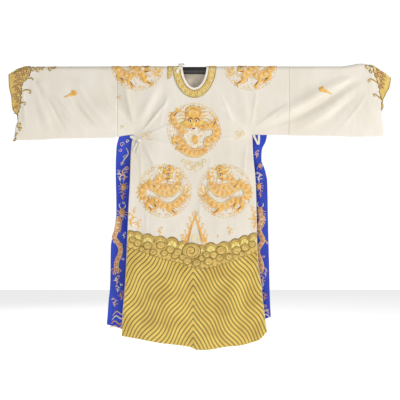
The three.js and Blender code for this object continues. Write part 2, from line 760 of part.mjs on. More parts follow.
add("underarm_knot", underarmKnot(), cloth(satin, 0.6));
add("underarm_loop", hangingLoop(), cloth(satin, 0.6));
add("wing_left", wing(LEFT_WING), cloth(blue, 0.45));
add("wing_right", wing(RIGHT_WING), cloth(blue, 0.45));

export default robe;
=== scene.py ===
"""A Chinese stage robe on a rod: its cloth, embroidery and finishes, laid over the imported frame.

Lengths are in millimetres unless a name says otherwise, and become metres when a mesh is made.
X runs to the viewer's right, Y away from the viewer and Z up, as in the frame. A place on the
robe is given by x and by the distance down over the shoulder line, which is negative on the back.
"""

from __future__ import annotations

import json
import logging
import math
from collections.abc import Callable
from dataclasses import dataclass, field, replace
from enum import Enum

import bpy
import numpy as np
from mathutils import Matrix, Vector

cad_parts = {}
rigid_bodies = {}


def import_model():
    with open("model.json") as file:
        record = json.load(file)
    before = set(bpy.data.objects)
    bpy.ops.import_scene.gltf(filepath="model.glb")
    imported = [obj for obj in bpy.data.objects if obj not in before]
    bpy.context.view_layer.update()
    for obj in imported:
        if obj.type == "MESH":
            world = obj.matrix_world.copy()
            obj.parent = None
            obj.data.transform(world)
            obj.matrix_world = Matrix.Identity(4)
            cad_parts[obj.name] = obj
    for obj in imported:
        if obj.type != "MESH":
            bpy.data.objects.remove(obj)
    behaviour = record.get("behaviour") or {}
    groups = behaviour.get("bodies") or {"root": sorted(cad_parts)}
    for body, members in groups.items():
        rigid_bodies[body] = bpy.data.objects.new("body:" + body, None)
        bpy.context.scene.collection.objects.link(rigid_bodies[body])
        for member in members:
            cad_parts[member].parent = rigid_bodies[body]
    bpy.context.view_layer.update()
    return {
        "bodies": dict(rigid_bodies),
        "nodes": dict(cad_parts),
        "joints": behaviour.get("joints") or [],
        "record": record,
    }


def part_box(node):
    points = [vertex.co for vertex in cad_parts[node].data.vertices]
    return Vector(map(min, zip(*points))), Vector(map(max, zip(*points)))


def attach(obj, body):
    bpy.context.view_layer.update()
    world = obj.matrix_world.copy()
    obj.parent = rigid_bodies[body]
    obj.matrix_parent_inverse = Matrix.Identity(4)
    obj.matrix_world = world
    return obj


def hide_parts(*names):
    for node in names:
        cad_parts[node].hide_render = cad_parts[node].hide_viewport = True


log = logging.getLogger("robe")
Array = np.ndarray
Point = tuple[float, float]
Triple = tuple[float, float, float]
Piece, Material = bpy.types.Object, bpy.types.Material
Node, Socket = bpy.types.Node, bpy.types.NodeSocket
MM = 0.001
MAP_UNIT = 100.0
GOLDEN_ANGLE = 2.39996
BODY = "root"

# Sizes of the rod and the cloth, as in the part's source.
WRAP = 19.6
ROD = 18.0
CLOTH = 1.6
LENGTH = 1390.0
CLOSED = 1.1
QUARTER = WRAP * np.pi / 2
SKIRT_REACH = 450.0
EDGE_GAP = 1.5
UNDERSIDE = -0.4
GROUND_STEP = 4.0
OPENING_REACH = 150.0
FOLD_START = 60.0
CALM_HALF, CALM_DOWN, CALM_FADE = 140.0, 185.0, 0.4
FOLD_FADING = 0.6
FOLD_PIECES = 6


def lerp(a: Array | float, b: Array | float, t: Array | float) -> Array:
    """The value a share t of the way from a to b."""
    return a + (b - a) * t


def smooth(t: Array | float) -> Array:
    """An even S-curve from 0 to 1: t squared times (3 - 2t), held at its ends."""
    t = np.clip(t, 0.0, 1.0)
    return t * t * (3.0 - 2.0 * t)


def arc(x: Array | float, y: Array | float, rx: Array | float, ry: Array | float, angle: Array) -> Array:
    """Points round an ellipse with this middle and these half widths, at these angles."""
    return np.stack([x + rx * np.cos(angle), y + ry * np.sin(angle)], -1)


def directions(line: Array) -> tuple[Array, Array]:
    """Unit directions along a flat line, by differences, and the same turned a quarter to its left."""
    tangent = np.gradient(line, axis=0)
    tangent /= np.maximum(np.linalg.norm(tangent, axis=1, keepdims=True), 1e-9)
    return tangent, np.stack([-tangent[:, 1], tangent[:, 0]], -1)


def lengths_along(line: Array) -> Array:
    """How far along a line each of its points is."""
    return np.concatenate(([0.0], np.cumsum(np.linalg.norm(np.diff(line, axis=0), axis=1))))


@dataclass(frozen=True)
class Table:
    """A curve through rows of (place, value), which doesn't swing past its rows."""

    rows: tuple[Point, ...]

    def at(self, place: Array | float) -> Array:
        """Reads the curve.

        Each row has a slope: the harmonic mean of the slopes beside it, or 0 at a peak. Between
        two rows the curve blends the lines through them by the S-curve.

        Args:
            place: Where to read, any shape. Beyond the rows the end values hold.

        Returns:
            The values, in the same shape.
        """
        keys, values = np.array(sorted(self.rows), float).T
        rise = np.diff(values) / np.diff(keys)
        before, after = rise[:-1], rise[1:]
        total = np.where(before + after == 0.0, 1.0, before + after)
        inner = np.where(before * after > 0.0, 2.0 * before * after / total, 0.0)
        slopes = np.concatenate(([rise[0]], inner, [rise[-1]]))
        at = np.clip(np.asarray(place, float), keys[0], keys[-1])
        i = np.clip(np.searchsorted(keys, at) - 1, 0, len(keys) - 2)
        t = (at - keys[i]) / (keys[i + 1] - keys[i])
        start = values[i] + slopes[i] * (at - keys[i])
        end = values[i + 1] + slopes[i + 1] * (at - keys[i + 1])
        return lerp(start, end, smooth(t))


@dataclass(frozen=True)
class Fold:
    """A soft fold of the cloth along a bent line of the front view, in x and z."""

    start: Point
    via: Point
    end: Point
    width: float
    depth: float

    def shift(self, x: Array, z: Array) -> Array:
        """How far the fold pushes the cloth out.

        The depth times a bell curve over the distance from the line, times the sine of pi times
        the place along the line raised to FOLD_FADING, so that the fold fades at both ends.

        Args:
            x: Places across.
            z: Heights, in the same shape.

        Returns:
            The push at each place, positive towards the outside.
        """
        t = np.linspace(0.0, 1.0, FOLD_PIECES + 1)[:, None]
        a, b, c = (np.array(point, float) for point in (self.start, self.via, self.end))
        line = lerp(lerp(a, b, t), lerp(b, c, t), t)
        low, high = line.min(axis=0) - 3 * self.width, line.max(axis=0) + 3 * self.width
        near = (x > low[0]) & (x < high[0]) & (z > low[1]) & (z < high[1])
        px, pz = x[near], z[near]
        nearest, place = np.full_like(px, np.inf), np.zeros_like(px)
        for i in range(FOLD_PIECES):
            (sx, sz), (dx, dz) = line[i], line[i + 1] - line[i]
            along = np.clip(((px - sx) * dx + (pz - sz) * dz) / (dx * dx + dz * dz), 0.0, 1.0)
            distance = np.hypot(px - sx - along * dx, pz - sz - along * dz)
            place = np.where(distance < nearest, (i + along) / FOLD_PIECES, place)
            nearest = np.minimum(distance, nearest)
        push = np.zeros_like(x)
        fading = np.clip(np.sin(np.pi * place), 0.0, 1.0) ** FOLD_FADING
        push[near] = self.depth * fading * np.exp(-((nearest / self.width) ** 2))
        return push


def folds(*rows: tuple[float, ...]) -> tuple[Fold, ...]:
    """Folds from rows of x and z of the start, the bend and the end, then half width and depth."""
    return tuple(Fold(row[0:2], row[2:4], row[4:6], row[6], row[7]) for row in rows)


FRONT_FOLDS = folds(
    (-806, -25, -742, -190, -700, -345, 27, 9),
    (-795, -30, -705, -170, -630, -340, 24, -8),
    (-785, -50, -650, -200, -520, -330, 26, 9),
    (-760, -60, -610, -215, -400, -318, 24, -7),
    (-310, -312, -420, -200, -590, -40, 24, 6),
    (-312, -305, -370, -170, -450, -20, 22, -5),
    (-300, -310, -318, -160, -370, -10, 22, 5),
    (-290, -312, -240, -175, -160, -20, 24, 6),
    (-275, -300, -205, -190, -125, -60, 22, -5),
    (-290, -345, -225, -425, -160, -520, 24, 5),
    (870, 30, 640, -110, 285, -300, 28, 11),
    (860, -20, 650, -165, 320, -316, 24, -10),
    (845, -50, 680, -195, 480, -318, 26, 9),
    (820, -90, 690, -240, 570, -325, 24, -7),
    (285, -312, 245, -180, 205, -40, 26, 5),
    (268, -305, 195, -200, 120, -120, 24, -4),
    (105, -520, 120, -700, 112, -920, 34, 5),
    (45, -640, 72, -1150, 55, -1800, 42, 8),
    (-32, -760, -25, -1150, -35, -1800, 34, -7),
    (-195, -620, -180, -1150, -195, -1800, 52, 7),
    (-290, -760, -275, -1200, -285, -1800, 40, -5),
    (190, -600, 182, -1150, 205, -1800, 52, 8),
    (280, -700, 285, -1150, 300, -1800, 40, -6),
)
BACK_FOLDS = folds(
    (-800, -30, -680, -190, -520, -335, 34, 9),
    (-780, -60, -600, -220, -360, -318, 30, -7),
    (-305, -312, -270, -160, -200, -20, 30, 6),
    (840, -20, 690, -180, 500, -318, 34, 9),
    (815, -60, 600, -220, 350, -316, 30, -7),
    (285, -312, 250, -160, 190, -20, 30, 6),
    (-150, -520, -150, -1100, -160, -1800, 50, 8),
    (-40, -620, -35, -1150, -50, -1800, 48, -7),
    (75, -560, 70, -1150, 80, -1800, 50, 8),
    (165, -640, 165, -1150, 170, -1800, 44, -6),
)
# Fine creases that only the finished cloth has: pulls at the underarms and the ties, and press lines.
FRONT_CREASES = folds(
    (-97, -90, -150, -190, -270, -312, 6, 2.4),
    (-280, -318, -350, -250, -440, -150, 8, 4.3),
    (-285, -325, -330, -200, -345, -60, 7, 3.4),
    (-270, -322, -215, -250, -150, -170, 7, 3.8),
    (-265, -335, -190, -300, -110, -270, 7, 2.8),
    (-268, -355, -215, -420, -190, -520, 7, 3.8),
    (-275, -365, -262, -470, -265, -580, 7, 2.8),
    (-420, -320, -520, -240, -610, -130, 8, 3.5),
    (-520, -330, -610, -235, -690, -120, 8, 3.4),
    (-640, -340, -700, -230, -760, -100, 7, 3.1),
    (-860, -60, -850, -180, -840, -300, 9, 2.8),
    (270, -315, 350, -245, 470, -170, 8, 4.3),
    (276, -322, 400, -285, 540, -250, 7, 3.5),
    (272, -318, 300, -220, 310, -80, 7, 3.4),
    (266, -322, 215, -260, 150, -215, 7, 3.5),
    (262, -335, 190, -330, 120, -345, 7, 2.4),
    (850, 15, 690, -115, 420, -240, 11, 3.8),
    (845, -5, 665, -150, 470, -262, 11, -3.6),
    (-815, 0, -728, -110, -612, -337, 13, 6.5),
    (-800, -50, -738, -205, -676, -337, 15, -7.0),
    (-600, -40, -540, -170, -400, -312, 13, 4.0),
    (-640, -60, -590, -190, -470, -325, 13, -4.0),
    (520, -300, 650, -230, 800, -120, 8, 3.8),
    (700, -318, 790, -230, 860, -120, 8, 3.4),
    (262, -370, 240, -480, 245, -600, 8, 2.8),
    (-60, -430, -40, -520, -55, -620, 9, 2.0),
    (85, -430, 60, -560, 90, -680, 9, 2.7),
    (-240, -640, -230, -740, -250, -850, 9, 2.4),
    (30, -640, 20, -720, 35, -800, 8, 2.1),
    (-110, -70, -150, -150, -175, -290, 7, 2.4),
    (-285, -330, -400, -285, -560, -270, 8, 3.0),
    (110, -80, 160, -170, 200, -300, 7, 2.2),
    (270, -330, 420, -310, 620, -300, 8, 2.6),
    (-262, -345, -160, -345, -60, -400, 7, 2.2),
)


@dataclass(frozen=True)
class Side:
    """One side of the robe: which way it faces, its folds and how its edges differ."""

    sign: float
    folds: tuple[Fold, ...]
    swing: float
    inset: float
    hem_lift: float


FRONT = Side(-1.0, FRONT_FOLDS + FRONT_CREASES, 12.0, 0.0, 0.0)
BACK = Side(1.0, BACK_FOLDS, 10.0, 9.0, 14.0)

LEFT_EDGE = Table(((-321, -307), (-400, -317), (-550, -322), (-700, -330), (-880, -337), (-1080, -347),
                   (-1200, -357), (-1310, -362)))
RIGHT_EDGE = Table(((-321, 289), (-400, 291), (-550, 304), (-700, 309), (-880, 313), (-1080, 334),
                    (-1200, 347), (-1310, 363)))
HEM = Table(((-362, -1324), (-287, -1338), (-160, -1360), (-20, -1380), (15, -1393), (157, -1377),
             (302, -1352), (363, -1303)))
UNDERARM = Table(((-935, -345), (-855, -347), (-660, -339), (-420, -335), (-307, -321), (289, -321),
                  (470, -323), (670, -326), (835, -330), (985, -321)))
AXIS = Table(((-935, -34), (-900, -16), (-866, -5), (-829, 0), (720, 0), (788, 8), (830, 14), (866, 9),
              (930, -16), (985, -50)))
RADIUS = Table(((-935, 9), (-900, 13), (-866, 17), (-829, WRAP), (866, WRAP), (930, 14), (985, 9)))
LEFT_CUFF = Table(((0, -927), (0.13, -926), (0.35, -913), (0.52, -907), (0.68, -882), (0.8, -892),
                   (1, -902)))
RIGHT_CUFF = Table(((0, 980), (0.12, 975), (0.3, 953), (0.52, 935), (0.7, 935), (0.86, 943), (1, 946)))
HEM_ENDS = (-362.0, 363.0)
SKIRT_WIDE, SKIRT_LONG, SLEEVE_DEEP = 690.0, 1050.0, 330.0
LEFT_SEAM, RIGHT_SEAM = -385.0, 470.0
UNDERARM_LEFT, UNDERARM_RIGHT, UNDERARM_Z = -307.0, 289.0, -321.0


class Drape:
    """How the robe hangs on its rod: where each place on the cloth is in space."""

    def seam_distance(self, x: Array, z: Array) -> Array:
        """Distance from the seam that joins front and back.

        Straight up from the seam along a sleeve, and from the nearer underarm within the body.

        Args:
            x: Places across.
            z: Heights.

        Returns:
            The distances.
        """
        height = z - UNDERARM.at(x)
        from_left = np.hypot(x - UNDERARM_LEFT, z - UNDERARM_Z)
        from_right = np.hypot(x - UNDERARM_RIGHT, z - UNDERARM_Z)
        on_sleeve = ((x < UNDERARM_LEFT) | (x > UNDERARM_RIGHT)) & (height >= 0.0)
        return np.where(on_sleeve, height, np.minimum(from_left, from_right))

    def half_depth(self, side: Side, x: Array, z: Array) -> Array:
        """Distance of the cloth's middle from the rod's plane, below the turn over the rod.

        It grows as a quarter sine from CLOSED at the seam to the turn's radius plus the swing,
        and the folds, where they are free of the rod, the collar and the seam, are added to it.

        Args:
            side: Front or back.
            x: Places across.
            z: Heights.

        Returns:
            The distances, at least CLOSED.
        """
        x, z = np.broadcast_arrays(np.asarray(x, float), np.asarray(z, float))
        opened = np.sin(np.pi / 2 * np.clip(self.seam_distance(x, z) / OPENING_REACH, 0.0, 1.0))
        swing = side.swing * smooth(-z / LENGTH)
        beyond_collar = np.hypot(x / CALM_HALF, z / CALM_DOWN) - 1.0
        below_rod = np.minimum(AXIS.at(x), 0.0) - ROD - z
        fade = smooth(below_rod / FOLD_START) * smooth(beyond_collar / CALM_FADE) * opened
        plain = CLOSED + (RADIUS.at(x) + swing - CLOSED) * opened
        push = sum(fold.shift(x, z) for fold in side.folds) + self.ripple(x, z)
        return np.maximum(CLOSED, plain + push * fade)

    @staticmethod
    def ripple(x: Array, z: Array) -> Array:
        """Faint unevenness of hanging cloth: three crossing sine waves, 0.9 mm at most in all."""
        first = np.sin(x / 31.0 + z / 97.0) * np.sin(z / 71.0 - x / 113.0)
        second = np.sin(x / 17.0 - z / 43.0 + 1.3)
        return 0.55 * first + 0.2 * second + 0.15 * np.sin(x / 9.0 + z / 23.0)

    def on_side(self, side: Side, x: Array, down: Array) -> Array:
        """Places on one side, from their distance down over the shoulder line.

        First a quarter circle round the rod's own turn, then straight down the hanging cloth.

        Args:
            side: Front or back.
            x: Places across.
            down: Distances down, 0 or more.

        Returns:
            Points, in an array with one more axis of length 3.
        """
        radius, axis = RADIUS.at(x), AXIS.at(x)
        quarter = radius * np.pi / 2
        angle = np.minimum(down, quarter) / radius
        z = axis - (down - quarter)
        turned = down <= quarter
        depth = np.where(turned, radius * np.sin(angle), self.half_depth(side, x, z))
        return np.stack([x + 0.0 * z, side.sign * depth, np.where(turned, axis + radius * np.cos(angle),
                                                                  z)], -1)

    def point(self, x: Array, down: Array) -> Array:
        """Places on the whole robe, where a negative distance down is on the back."""
        x, down = np.broadcast_arrays(np.asarray(x, float), np.asarray(down, float))
        out = self.on_side(FRONT, x, np.abs(down))
        back = down < 0.0
        out[back] = self.on_side(BACK, x[back], -down[back])
        return out


class MeshParts:
    """Collects points and faces of one piece and makes its mesh in one go."""

    def __init__(self) -> None:
        """Starts empty."""
        self.points: list[Array] = []
        self.uvs: list[Array] = []
        self.faces: list[tuple[Array, int]] = []
        self.count = 0

    def add(self, points: Array, faces: list[Array], uv: Array | None = None, finish: int = 0) -> None:
        """Adds some points and the faces between them.

        Args:
            points: Points in millimetres, one to a row.
            faces: Arrays of point numbers, each with faces of one size.
            uv: The pattern's place of each point, or None.
            finish: Which of the piece's materials the faces take.
        """
        points = np.asarray(points, float).reshape(-1, 3)
        self.points.append(points)
        self.uvs.append(np.zeros((len(points), 2)) if uv is None else np.asarray(uv, float).reshape(-1, 2))
        self.faces += [(np.asarray(face, int) + self.count, finish) for face in faces if len(face)]
        self.count += len(points)

    def build(self, name: str, finishes: list[Material], slot: str = "gold_thread") -> Piece:
        """Makes the piece and rides it on the body.

        Args:
            name: The piece's name.
            finishes: Its materials in order.
            slot: The record's material slot; not used.

        Returns:
            The new object, at the origin.
        """
        mesh = bpy.data.meshes.new(name)
        points = np.concatenate(self.points) * MM
        corners = np.concatenate([face.ravel() for face, _ in self.faces])
        sizes = np.concatenate([np.full(len(face), face.shape[1]) for face, _ in self.faces])
        finish = np.concatenate([np.full(len(face), number) for face, number in self.faces])
        mesh.vertices.add(len(points))
        mesh.vertices.foreach_set("co", points.ravel())
        mesh.loops.add(len(corners))
        mesh.loops.foreach_set("vertex_index", corners.astype(np.int32))
        mesh.polygons.add(len(sizes))
        starts = np.concatenate(([0], np.cumsum(sizes)[:-1]))
        mesh.polygons.foreach_set("loop_start", starts.astype(np.int32))
        mesh.polygons.foreach_set("material_index", finish.astype(np.int32))
        mesh.uv_layers.new(name="Pattern").data.foreach_set("uv", np.concatenate(self.uvs)[corners].ravel())
        mesh.update(calc_edges=True)
        mesh.polygons.foreach_set("use_smooth", np.ones(len(sizes), bool))
        piece = bpy.data.objects.new(name, mesh)
        bpy.context.scene.collection.objects.link(piece)
        for material in finishes:
            mesh.materials.append(material)
        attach(piece, BODY)
        triangles = int((sizes - 2).sum())
        log.info("%s: %d points, %d triangles", name, len(points), triangles)
        return piece


def grid_normals(points: Array, closed: bool = False) -> Array:
    """Unit normals of a grid of points: the cross product of its two directions, by differences.

    Args:
        points: The grid, rows by columns by 3.
        closed: Whether each row closes on itself.

    Returns:
        The normals, in the same shape.
    """
    down = np.gradient(points, axis=0)
    across = (np.roll(points, -1, 1) - np.roll(points, 1, 1)) if closed else np.gradient(points, axis=1)
    normals = np.cross(across, down)
    return normals / np.maximum(np.linalg.norm(normals, axis=-1, keepdims=True), 1e-9)


def wall(parts: MeshParts, outer: Array, inner: Array, keep: Array | None = None, closed: bool = False,
         uv: Array | None = None, finishes: tuple[int, int] = (0, 0)) -> None:
    """Adds a closed wall between two grids of points.

    Each kept cell gives a face on both grids, and each edge with one kept cell beside it is closed
    by a face between the grids. All faces are turned round if the wall would be inside out.

    Args:
        parts: Where the wall goes.
        outer: The visible grid, rows by columns by 3.
        inner: The grid behind it.
        keep: Which cells exist, rows - 1 by columns - 1, or columns where closed.
        closed: Whether each row closes on itself.
        uv: The pattern's place of each outer point.
        finishes: The finish of the outer side and edges, and of the inner side.
    """
    rows, columns = outer.shape[:2]
    wide = columns if closed else columns - 1
    keep = np.ones((rows - 1, wide), bool) if keep is None else keep
    number = np.arange(rows * columns).reshape(rows, columns)
    after = np.roll(number, -1, 1)[:, :wide]
    before = number[:, :wide]
    a, b, c, d = before[:-1], before[1:], after[1:], after[:-1]
    behind = rows * columns
    first, second = points_at(outer, (c, a)), points_at(outer, (d, b))
    facing = np.einsum("ijk,ijk->", np.cross(first[0] - first[1], second[0] - second[1]),
                       points_at(outer - inner, (a,))[0])
    cells = np.stack([a, b, c, d], -1)[keep]
    padded = np.pad(keep, 1)
    if closed:
        padded[1:-1, 0], padded[1:-1, -1] = keep[:, -1], keep[:, 0]
    edges = []
    for start, end, beside in ((a, b, padded[1:-1, :-2]), (b, c, padded[2:, 1:-1]),
                               (c, d, padded[1:-1, 2:]), (d, a, padded[:-2, 1:-1])):
        lone = keep & ~beside
        s, e = start[lone], end[lone]
        edges.append(np.stack([e, s, s + behind, e + behind], -1))
    back = np.stack([a, d, c, b], -1)[keep] + behind
    front = np.concatenate([cells, *edges])
    if facing < 0.0:
        front, back = front[:, ::-1], back[:, ::-1]
    used = np.zeros(2 * behind, bool)
    used[front.ravel()] = used[back.ravel()] = True
    place = np.cumsum(used) - 1
    both = np.concatenate([outer.reshape(-1, 3), inner.reshape(-1, 3)])
    flat = np.zeros((behind, 2)) if uv is None else uv.reshape(-1, 2)
    both_uv = np.concatenate([flat, flat])
    start = parts.count
    parts.add(both[used], [place[front]], both_uv[used], finishes[0])
    parts.faces.append((place[back] + start, finishes[1]))


def points_at(grid: Array, numbers: tuple[Array, ...]) -> list[Array]:
    """The points of a grid that have these numbers."""
    flat = grid.reshape(-1, 3)
    return [flat[number] for number in numbers]


def curve_through(points: Array, step: float) -> Array:
    """A smooth curve through some points, with even steps.

    Each stretch is a Catmull-Rom cubic through its two points with the slopes of their neighbours;
    then the curve is read again at even distances.

    Args:
        points: Two or more points of any dimension, one to a row.
        step: The distance between points of the result, roughly.

    Returns:
        The points of the curve.
    """
    p = np.asarray(points, float)
    q = np.concatenate([2 * p[:1] - p[1:2], p, 2 * p[-1:] - p[-2:-1]])
    t = np.linspace(0.0, 1.0, 9)[:-1][None, :, None]
    a, b, c, d = q[:-3, None], q[1:-2, None], q[2:-1, None], q[3:, None]
    dense = 0.5 * (2 * b + (c - a) * t + (2 * a - 5 * b + 4 * c - d) * t**2 + (3 * b - a - 3 * c + d) * t**3)
    dense = np.concatenate([dense.reshape(-1, p.shape[1]), p[-1:]])
    return even_steps(dense, step)


def even_steps(line: Array, step: float) -> Array:
    """The same line with its points a step apart."""
    along = lengths_along(line)
    places = np.linspace(0.0, along[-1], max(3, int(round(along[-1] / step)) + 1))
    return np.stack([np.interp(places, along, line[:, k]) for k in range(line.shape[1])], -1)


@dataclass
class Ground:
    """A cloth surface that embroidery lies on, kept as a grid of points and their normals."""

    u: Array
    v: Array
    points: Array
    normals: Array
    lift: float = CLOTH / 2
    side_edges: bool = False

    def lay(self, flat: Array, height: Array | float) -> Array:
        """Points over the cloth: the grid read between its four nearest points, plus normal times height.

        On the body below the underarms a place beyond the robe's side edge is held at that edge.

        Args:
            flat: Places on the cloth, in an array whose last axis has length 2.
            height: Heights over the cloth's outer face.

        Returns:
            The points in space, in the same shape but with a last axis of length 3.
        """
        across, down = flat[..., 0], flat[..., 1]
        if self.side_edges:
            z = np.minimum(QUARTER - np.abs(down), UNDERARM_Z)
            below = (np.abs(down) > QUARTER - UNDERARM_Z) & (np.abs(across) < SKIRT_REACH)
            inset = np.where(down < 0.0, BACK.inset, 0.0) + EDGE_GAP
            held = np.clip(across, LEFT_EDGE.at(z) + inset, RIGHT_EDGE.at(z) - inset)
            across = np.where(below, held, across)
        i = np.clip((across - self.u[0]) / (self.u[1] - self.u[0]), 0, len(self.u) - 1.001)
        j = np.clip((down - self.v[0]) / (self.v[1] - self.v[0]), 0, len(self.v) - 1.001)
        a, b = i.astype(int), j.astype(int)
        s, t = (i - a)[..., None], (j - b)[..., None]

        def read(grid: Array) -> Array:
            """The grid read between four neighbours."""
            return lerp(lerp(grid[b, a], grid[b, a + 1], s), lerp(grid[b + 1, a], grid[b + 1, a + 1], s), t)

        tall = np.broadcast_to(np.asarray(height, float), down.shape)[..., None]
        return read(self.points) + read(self.normals) * (self.lift + tall)

    def sheet(self, flat: Array, top: Array | float, low: Array | float, uv: Array,
              closed: bool = False) -> MeshParts:
        """A closed wall over the cloth, between two heights over the same grid of places."""
        parts = MeshParts()
        wall(parts, self.lay(flat, top), self.lay(flat, low), closed=closed, uv=uv)
        return parts


def robe_ground(drape: Drape) -> Ground:
    """The whole robe as a ground, in x and distance down."""
    u, v = np.arange(-940.0, 992.0, GROUND_STEP), np.arange(-1424.0, 1432.0, GROUND_STEP)
    points = drape.point(*np.meshgrid(u, v))
    normals = grid_normals(points)
    facing = np.sign(-normals[len(v) * 3 // 4, len(u) // 2, 1])
    return Ground(u, v, points, normals * facing, side_edges=True)


class Thread(Enum):
    """The thread colours, in the order of each embroidered piece's materials."""

    GOLD = 0
    OUTLINE = 1
    ORANGE = 2
    WHITE = 3
    DARK = 4
    RED = 5
    BRIGHT = 6
    PINK = 7
    RUST = 8
    BROWN = 9
    PALE = 10


GOLD, OUTLINE, ORANGE, WHITE, DARK, RED, BRIGHT, PINK, RUST, BROWN, PALE = Thread


@dataclass
class Embroidery:
    """Threads couched on a ground: domed cords and pads, each closed underneath."""

    ground: Ground
    scale: float = 5.0
    parts: MeshParts = field(default_factory=MeshParts)
    centre: Point = (0.0, 0.0)
    flip: float = 1.0
    turn: float = 0.0
    sunk: float = 0.5
    step: float = 3.2

    def at(self, x: float, y: float, flip: bool = False, turn: float = 0.0) -> Embroidery:
        """The same embroidery with its motif's own middle, mirrored or turned where asked."""
        return replace(self, centre=(x, y), flip=-1.0 if flip else 1.0, turn=turn)

    def flat(self, local: Array) -> Array:
        """Places on the ground of a motif's own places: mirrored, turned, sized and moved."""
        p = np.asarray(local, float) * [self.flip, 1.0] * self.scale
        c, s = math.cos(self.turn), math.sin(self.turn)
        return p @ np.array([[c, s], [-s, c]]) + self.centre

    def cord(self, points: Array | list[Point], width: float, thread: Thread, height: float = 1.2,
             taper: tuple[float, float] = (0.3, 0.3), over: float = 0.0, sharp: bool = False) -> None:
        """Lays a domed cord along a path.

        Across the cord the height is the square root of (1 - t squared) times the full height, from
        edge to edge, and the edges lie sunk in the cloth. The width shrinks towards tapered ends.

        Args:
            points: The path's places in the motif.
            width: The cord's width in the motif's units.
            thread: Its colour.
            height: Its height in millimetres.
            taper: The share of the path over which each end narrows.
            over: How far over the cloth the cord starts, in millimetres.
            sharp: Whether the path keeps its corners.
        """
        place = self.flat(np.asarray(points, float))
        path = even_steps(place, self.step) if sharp else curve_through(place, self.step)
        along, across = lengths_along(path), directions(path)[1]
        share = along / along[-1]
        narrow = np.minimum(np.minimum(share / max(taper[0], 1e-3), (1 - share) / max(taper[1], 1e-3)), 1.0)
        half = width * self.scale / 2 * (0.12 + 0.88 * np.sqrt(np.clip(narrow, 0.0, 1.0)))
        t = np.array([-1.0, -0.72, 0.0, 0.72, 1.0])
        dome = np.sqrt(1.0 - t**2)
        size = half / half.max()
        rings, k = len(path), len(t)
        spots = path[:, None] + across[:, None] * (half[:, None] * t)[..., None]
        tall = over + dome * height * size[:, None] - self.sunk * (dome == 0.0)
        place3 = self.ground.lay(spots, tall).reshape(-1, 3)
        number = np.arange(rings * k).reshape(rings, k)
        nxt = np.roll(number, -1, 1)
        sides = np.stack([number[:-1], nxt[:-1], nxt[1:], number[1:]], -1).reshape(-1, 4)
        caps = np.stack([number[0][::-1], number[-1]])
        uv = np.stack([np.repeat(along, k), (half[:, None] * t).ravel()], -1) / MAP_UNIT
        self.put(place3, [sides, caps], uv, thread)

    def pad(self, x: float, y: float, rx: float, ry: float, thread: Thread, height: float = 1.6,
            turn: float = 0.0, over: float = 0.0, foot: float = 1.0) -> None:
        """Lays a domed oval pad.

        Rings of points round the middle, whose height is the square root of (1 - r squared), and
        rings under them that lie sunk in the cloth. The lower half is shortened to the foot's share.

        Args:
            x: Its middle across in the motif.
            y: Its middle down in the motif.
            rx: Half its width.
            ry: Half its length.
            thread: Its colour.
            height: Its height in millimetres.
            turn: Its turn in radians.
            over: How far over the cloth it starts.
            foot: The share of the lower half's length that is left.
        """
        radii, rising = np.array([0.02, 0.45, 0.8, 1.0, 0.6, 0.05]), 3
        spokes = 12 if max(rx, ry) * self.scale < 20.0 else 24
        angle = np.arange(spokes) * 2 * np.pi / spokes
        long = ry * np.where(np.sin(angle) > 0.0, foot, 1.0)
        ring = radii[:, None, None] * np.stack([rx * np.cos(angle), long * np.sin(angle)], -1)[None]
        c, s = math.cos(turn), math.sin(turn)
        local = ring.reshape(-1, 2) @ np.array([[c, s], [-s, c]]) + [x, y]
        dome = np.where(np.arange(len(radii)) < rising, height * np.sqrt(1 - radii**2), -self.sunk)
        tall = np.repeat(over + dome, spokes)
        number = np.arange(len(radii) * spokes).reshape(-1, spokes)
        nxt = np.roll(number, -1, 1)
        sides = np.stack([number[:-1], number[1:], nxt[1:], nxt[:-1]], -1).reshape(-1, 4)
        ends = np.stack([number[0], number[-1][::-1]])
        self.put(self.ground.lay(self.flat(local), tall), [sides, ends], local * self.scale / MAP_UNIT,
                 thread)

    def put(self, points: Array, faces: list[Array], uv: Array, thread: Thread) -> None:
        """Adds a closed form, turned round where its volume would be negative."""
        quads = faces[0]
        middle = points.mean(axis=0)
        p = points[quads] - middle
        volume = np.einsum("ij,ij->", p[:, 0], np.cross(p[:, 1], p[:, 2]) + np.cross(p[:, 2], p[:, 3]))
        self.parts.add(points, faces if volume > 0 else [face[:, ::-1] for face in faces], uv, thread.value)

    def curl(self, x: float, y: float, radius: float, thread: Thread = GOLD, width: float = 1.0,
             turns: float = 1.4, start: float = 0.0, way: float = 1.0, height: float = 1.2,
             over: float = 0.0) -> None:
        """Lays a spiral cord whose radius shrinks evenly from the full radius to a sixth of it."""
        t = np.linspace(0.0, 1.0, 14)
        angle = start + way * t * turns * 2 * np.pi
        r = radius * (1.0 - 0.84 * t)
        path = arc(x, y, r, r, angle)
        self.cord(path, width, thread, height, (0.1, 0.2), over)

    def broken_ring(self, radius: float, width: float, thread: Thread, count: int) -> None:
        """Lays a ring of short strokes round the motif's middle, each bulging out a little."""
        t = np.linspace(0.0, 1.0, 5)
        for k in range(count):
            angle = 2 * np.pi * k / count + t * 2 * np.pi / count * 0.82
            bulge = radius + 0.7 * np.sin(np.pi * t)
            self.cord(arc(0.0, 0.0, bulge, bulge, angle), width, thread, 0.9, (0.2, 0.2))

    def strokes(self, x: float, y: float, inner: float, outer: float, start: float, end: float, count: int,
                threads: tuple[Thread, ...], width: float = 0.7, bend: float = 0.15) -> None:
        """Lays a fan of fine strokes from one point, each bent a little to the same side."""
        for k in range(count):
            angle = lerp(start, end, k / max(count - 1, 1))
            r = np.array([inner, (inner + outer) / 2, outer])
            path = arc(x, y, r, r, angle + bend * np.array([0.0, 0.6, 2.0]))
            self.cord(path, width, threads[k % len(threads)], 0.9, (0.1, 0.6))

